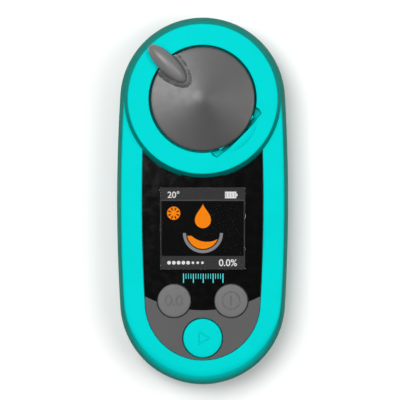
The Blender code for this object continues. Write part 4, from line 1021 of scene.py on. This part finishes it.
def make_grip():
    """An egg-shaped grip across from the hinge, cut flat where it stands on the lid."""
    begin("uv_sphere", segments=72, ring_count=48, radius=1)
    turn = Matrix.Rotation(HINGE_TURN, 4, "Z") @ Matrix.Diagonal((*GRIP_HALVES, 1))
    pick(moved(close("grip_cap"), Matrix.Translation(GRIP_POINT) @ turn))
    mode("EDIT")
    bpy.ops.mesh.select_all(action="SELECT")
    floor = GRIP_POINT - Vector((0, 0, 0.85 * MM))
    bpy.ops.mesh.bisect(plane_co=floor, plane_no=(0, 0, 1), use_fill=True, clear_inner=True)
    place_piece(smooth(close("grip_cap")), "lid", "grip_grey_plastic", "lid_grip")


# Sample well


def make_dish():
    """The polished dish that carries the drop down to the prism."""
    mouth = 10.8 * MM
    throat = 4.7 * MM
    flange = 12.8 * MM
    edge = 0.3 * MM
    top = DISH_HIGH.z
    foot = DISH_LOW.z
    throat_z = top - 3.9 * MM
    outside = mouth + 0.1 * MM
    flange_z = top - 0.6 * MM
    profile = [
        (throat, foot), (throat + 0.8 * MM, foot),
        (outside, flange_z - 0.5 * MM), (outside, flange_z), (flange - 0.1 * MM, flange_z),
    ]
    profile += arc_profile(flange - edge, top - edge, edge, 0, 90, 5)
    profile += arc_profile(mouth + edge, top - edge, edge, 90, 145, 4)
    start_r, start_z = profile[-1]
    for k in range(1, 13):
        share = k / 12
        reach = start_r + (throat + 0.05 * MM - start_r) * share
        sag = 0.75 * MM * math.sin(math.pi * share)
        profile.append((reach, start_z + (throat_z - start_z) * share - sag))
    profile.append((throat, throat_z - 0.08 * MM))
    dish = turned("dish_bowl", profile, steps=128, ring=True)
    place_piece(smooth(dish), "case", "stainless_steel", "sample_dish")


# Display


def layer_z(level):
    """Height of a layer of the lit picture over the display's glass."""
    return LCD_HIGH.z + SCREEN_LAYER * level


def screen_patch(name, low, high, finish, level):
    """A flat lit patch on the display, between two corners in metres."""
    patch = box_shape(name, (*low, layer_z(level)), (*high, layer_z(level) + SCREEN_LAYER))
    return place_piece(patch, "case", "display_glass", finish=finish)


def screen_disc(name, centre, radius, level, steps, finish=None):
    """A round patch of the lit picture, placed at once if it has a finish."""
    base = layer_z(level)
    disc = round_bar(name, radius, base, base + SCREEN_LAYER, centre=Vector((*centre, 0)), steps=steps)
    return place_piece(disc, "case", "display_glass", finish=finish) if finish else disc


def screen_text(name, words, left, low, height, finish, level=3):
    """Digits on the display, from the left end of their base line."""
    pick()
    bpy.ops.object.text_add(location=(0, 0, 0))
    text = bpy.context.object
    text.data.body = words
    text.data.size = 1
    text.data.extrude = 0.005
    text.data.offset = 0.012
    bpy.ops.object.convert(target="MESH")
    tall = max(corner.co.y for corner in text.data.vertices)
    left_edge = min(corner.co.x for corner in text.data.vertices)
    scale = height / tall
    grow = Matrix.Diagonal((scale, scale, 0.6 * MM, 1))
    text.data.transform(Matrix.Translation((left - left_edge * scale, low, layer_z(level))) @ grow)
    text.name = name
    text.data.name = name
    return place_piece(text, "case", "display_glass", finish=finish)


def drop_shape(name, tip, foot, half, finish, level):
    """A drop with its tip up: a disc whose upper half is drawn to a point."""
    centre = (0.1 * MM, foot + half, layer_z(level))
    begin("cylinder", vertices=64, radius=half, depth=SCREEN_LAYER, location=centre)
    mode("OBJECT")
    for corner in bpy.context.object.data.vertices:
        if corner.co.y > 0:
            turn = math.asin(min(1, corner.co.y / half))
            corner.co.y = (tip - centre[1]) * turn / (math.pi / 2)
            corner.co.x = math.copysign(half * max(0, math.cos(turn)) ** 1.4, corner.co.x)
    mode("EDIT")
    return place_piece(close(name), "case", "display_glass", finish=finish)


def bowl_shapes(bar, orange):
    """The cup under the drop and the liquid in it."""
    centre = Vector((0.1 * MM, -10.45 * MM, 0))
    outer, inner = 6.5 * MM, 5.5 * MM
    low, high = layer_z(2) - MM, layer_z(2) + MM
    past = 0.05
    disc = screen_disc("cup_arc", centre.xy, outer, 2, 128)
    hollow = round_bar("cup_hollow", inner, low, high, centre=centre, steps=128)
    upper = box_shape("cup_top", (-past, centre.y, low - MM), (past, past, high + MM))
    carve(disc, "DIFFERENCE", hollow, upper, solver="EXACT")
    place_piece(disc, "case", "display_glass", finish=bar)
    fluid = screen_disc("cup_liquid", centre.xy, inner - 0.35 * MM, 2, 128)
    lifted = centre + Vector((1.3 * MM, 4.55 * MM, 0))
    lift = round_bar("liquid_top", 7.4 * MM, low, high, centre=lifted, steps=128)
    upper = box_shape("liquid_rim", (-past, centre.y - 0.9 * MM, low - MM), (past, past, high + MM))
    carve(fluid, "DIFFERENCE", lift, upper, solver="EXACT")
    place_piece(fluid, "case", "display_glass", finish=orange)


def make_display():
    """The lit picture: two grey bars with figures, and a drop that falls into a cup."""
    bar_grey = lit("screen_bar_grey", (0.041, 0.040, 0.041))
    line_grey = lit("screen_line_grey", (0.075, 0.073, 0.073))
    black = lit("screen_black", (0.0008, 0.0008, 0.0008))
    white = lit("screen_white", (0.85, 0.85, 0.85))
    orange = lit("screen_orange", (0.95, 0.24, 0.001), 1.1)
    cup_grey = lit("screen_cup_grey", (0.25, 0.25, 0.26))
    half = SCREEN_HALF_X - 0.02 * MM
    border = 0.4 * MM
    inner = half - border
    top = SCREEN_HIGH_Y - 0.3 * MM
    screen_patch("screen_border", (-half, SCREEN_LOW_Y), (half, SCREEN_HIGH_Y), bar_grey, 0)
    screen_patch("screen_field", (-inner, -17.9 * MM), (inner, 0), black, 1)
    screen_patch("screen_top_bar", (-inner, border), (inner, top), bar_grey, 1)
    screen_patch("screen_top_line", (-half, 0), (half, border), line_grey, 2)
    screen_text("screen_degrees", "20°", -11.4 * MM, 1.0 * MM, 2.15 * MM, white)
    screen_text("screen_value", "0.0%", 5.3 * MM, -21.15 * MM, 2.2 * MM, white)
    make_battery_icon(white, bar_grey)
    make_progress(white)
    make_wheel(orange, black)
    drop_shape("screen_drop", -0.95 * MM, -8.85 * MM, 2.6 * MM, orange, 2)
    bowl_shapes(cup_grey, orange)


def make_battery_icon(white, gap_finish):
    """A full battery: a block with a tip and four thin gaps."""
    low, high = 0.85 * MM, 3.0 * MM
    end = 10.95 * MM
    tip_in = 0.7 * MM
    gap_in = 0.35 * MM
    gap_wide = 0.16 * MM
    screen_patch("battery_icon", (7.25 * MM, low), (end, high), white, 2)
    screen_patch("battery_icon_tip", (end, low + tip_in), (end + 0.4 * MM, high - tip_in), white, 2)
    for k in range(4):
        x = (7.55 + 0.95 * k) * MM
        corners = (x, low + gap_in), (x + gap_wide, high - gap_in)
        screen_patch(f"battery_icon_gap_{k + 1}", *corners, gap_finish, 3)


def make_progress(white):
    """A row of dots that stands for a reading under way."""
    for k in range(8):
        radius = (0.6 if k < 5 else 0.42) * MM
        place = ((-10.9 + 1.55 * k) * MM, -20.1 * MM)
        screen_disc(f"progress_dot_{k + 1}", place, radius, 3, 32, white)


def make_wheel(orange, black):
    """A round fruit-like sign: a disc with eight short cut spokes."""
    centre = Vector((-9.4 * MM, -4.0 * MM, 0))
    base = layer_z(2)
    wheel = screen_disc("wheel_sign", centre.xy, 2.15 * MM, 2, 64)
    spokes = 8
    stretch = Matrix.Diagonal((1.8, 0.75, 1, 1))
    cuts = []
    for k in range(spokes):
        turn = 2 * math.pi * (k + 0.5) / spokes
        place = centre + Vector((math.cos(turn), math.sin(turn), 0)) * 1.45 * MM
        spoke = round_bar("spoke_cut", 0.3 * MM, base - MM, base + MM, centre=place, steps=16)
        home = Matrix.Translation(place) @ Matrix.Rotation(turn, 4, "Z")
        back = Matrix.Rotation(-turn, 4, "Z") @ Matrix.Translation(-place)
        cuts.append(moved(spoke, home @ stretch @ back))
    carve(wheel, "DIFFERENCE", *cuts, solver="EXACT")
    place_piece(wheel, "case", "display_glass", finish=orange)


def make_tick_row():
    """A printed scale under the display: long and short ticks in the case's colour."""
    print_teal = plastic("print_teal", (0.03, 0.62, 0.62), 0.5, depth=0.0005 * MM)
    count = 17
    start, stop = -6.2 * MM, 6.6 * MM
    top = -23.6 * MM
    for k in range(count):
        x = start + (stop - start) * k / (count - 1)
        long = k % 4 == 0
        width = (0.3 if long else 0.2) * MM
        depth = (3.0 if long else 1.7) * MM
        low = (x - width / 2, top - depth, WINDOW_HIGH.z)
        high = (x + width / 2, top, WINDOW_HIGH.z + 0.015 * MM)
        tick = box_shape(f"scale_tick_{k + 1}", low, high)
        place_piece(tick, "case", "teal_plastic", finish=print_teal)


# Screws


def make_screw(name, node, body, radius, height, shank):
    """A pan head with a cross recess, head down, on its threaded shank."""
    low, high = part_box(node)
    centre = Vector(((low.x + high.x) / 2, (low.y + high.y) / 2, low.z))
    length = high.z - low.z
    profile = [(0, 0)]
    for turn in map(math.radians, (20, 40, 60, 75, 90)):
        profile.append((radius * math.sin(turn), 0.45 * height * (1 - math.cos(turn))))
    profile += [(radius, height), (shank, height)]
    pitch = 0.5 * MM
    z = height + pitch
    while z < length - pitch:
        profile += [(shank * 0.82, z), (shank, z + pitch * 0.45)]
        z += pitch
    profile += [(shank * 0.7, length - pitch * 0.4), (0, length)]
    screw = turned(name, profile, centre, 32)
    arm = radius * 0.55
    slot_half = radius * 0.1
    depth = height * 0.6
    for half_x, half_y in ((arm, slot_half), (slot_half, arm)):
        start = centre - Vector((half_x, half_y, MM))
        stop = centre + Vector((half_x, half_y, depth))
        carve(screw, "DIFFERENCE", box_shape("cross_cut", start, stop))
    place_piece(smooth(screw), body, "zinc_plated_steel", node)


def make_screws():
    for number in range(1, 5):
        node = f"case_screw_{number}"
        make_screw(f"case_screw_head_{number}", node, "case", radius=1.9 * MM, height=1.5 * MM, shank=MM)
    make_screw("grip_screw_head", "grip_screw", "lid", radius=1.2 * MM, height=0.7 * MM, shank=0.6 * MM)


# Studio


def soft_light(name, azimuth, lean, size, power):
    """A round soft box over the object, so many degrees off the zenith."""
    turn = math.radians(azimuth)
    tilt = math.radians(lean)
    aim = Vector((math.sin(tilt) * math.cos(turn), math.sin(tilt) * math.sin(turn), math.cos(tilt)))
    light = bpy.data.lights.new(name, "AREA")
    light.shape = "DISK"
    light.size = size
    light.energy = power
    holder = bpy.data.objects.new(name, light)
    holder.location = aim * LIGHT_DISTANCE
    holder.rotation_euler = (-aim).to_track_quat("-Z", "Y").to_euler()
    bpy.context.scene.collection.objects.link(holder)


def make_studio():
    """A pale floor, an even world, four soft lights and a long lens straight over the case."""
    pick()
    bpy.ops.mesh.primitive_plane_add(size=4, location=(0, 0, -0.0002))
    floor = bpy.context.object
    floor.name = "studio_floor"
    pale = bpy.data.materials.new("pale_floor")
    pale.use_nodes = True
    finish = pale.node_tree.nodes["Principled BSDF"]
    finish.inputs["Base Color"].default_value = (0.93, 0.93, 0.93, 1)
    finish.inputs["Roughness"].default_value = 0.9
    floor.data.materials.append(pale)
    world = bpy.data.worlds.new("studio")
    world.use_nodes = True
    sky = world.node_tree.nodes["Background"]
    sky.inputs["Color"].default_value = (1, 1, 1, 1)
    sky.inputs["Strength"].default_value = 0.06
    bpy.context.scene.world = world
    soft_light("key_light", 146, 20, 0.6, 8.8)
    soft_light("right_light", 0, 30, 0.6, 4.3)
    soft_light("head_light", 70, 30, 0.6, 1.8)
    soft_light("foot_light", 250, 30, 0.6, 1.2)
    bpy.context.scene.view_settings.view_transform = "Standard"
    view_width = 131.04 * MM
    camera = bpy.data.cameras.new("camera")
    camera.lens = 250
    camera.sensor_width = 36
    distance = view_width * camera.lens / camera.sensor_width
    holder = bpy.data.objects.new("camera", camera)
    holder.location = (-0.85 * MM, 0.29 * MM, SEAM_Z + distance)
    bpy.context.scene.collection.objects.link(holder)
    bpy.context.scene.camera = holder


make_studio()
finish_packed_parts()
make_front_shell()
make_rear_shell()
make_battery_door()
make_panel()
make_keys()
make_lid()
make_grip()
make_dish()
make_display()
make_tick_row()
make_screws()
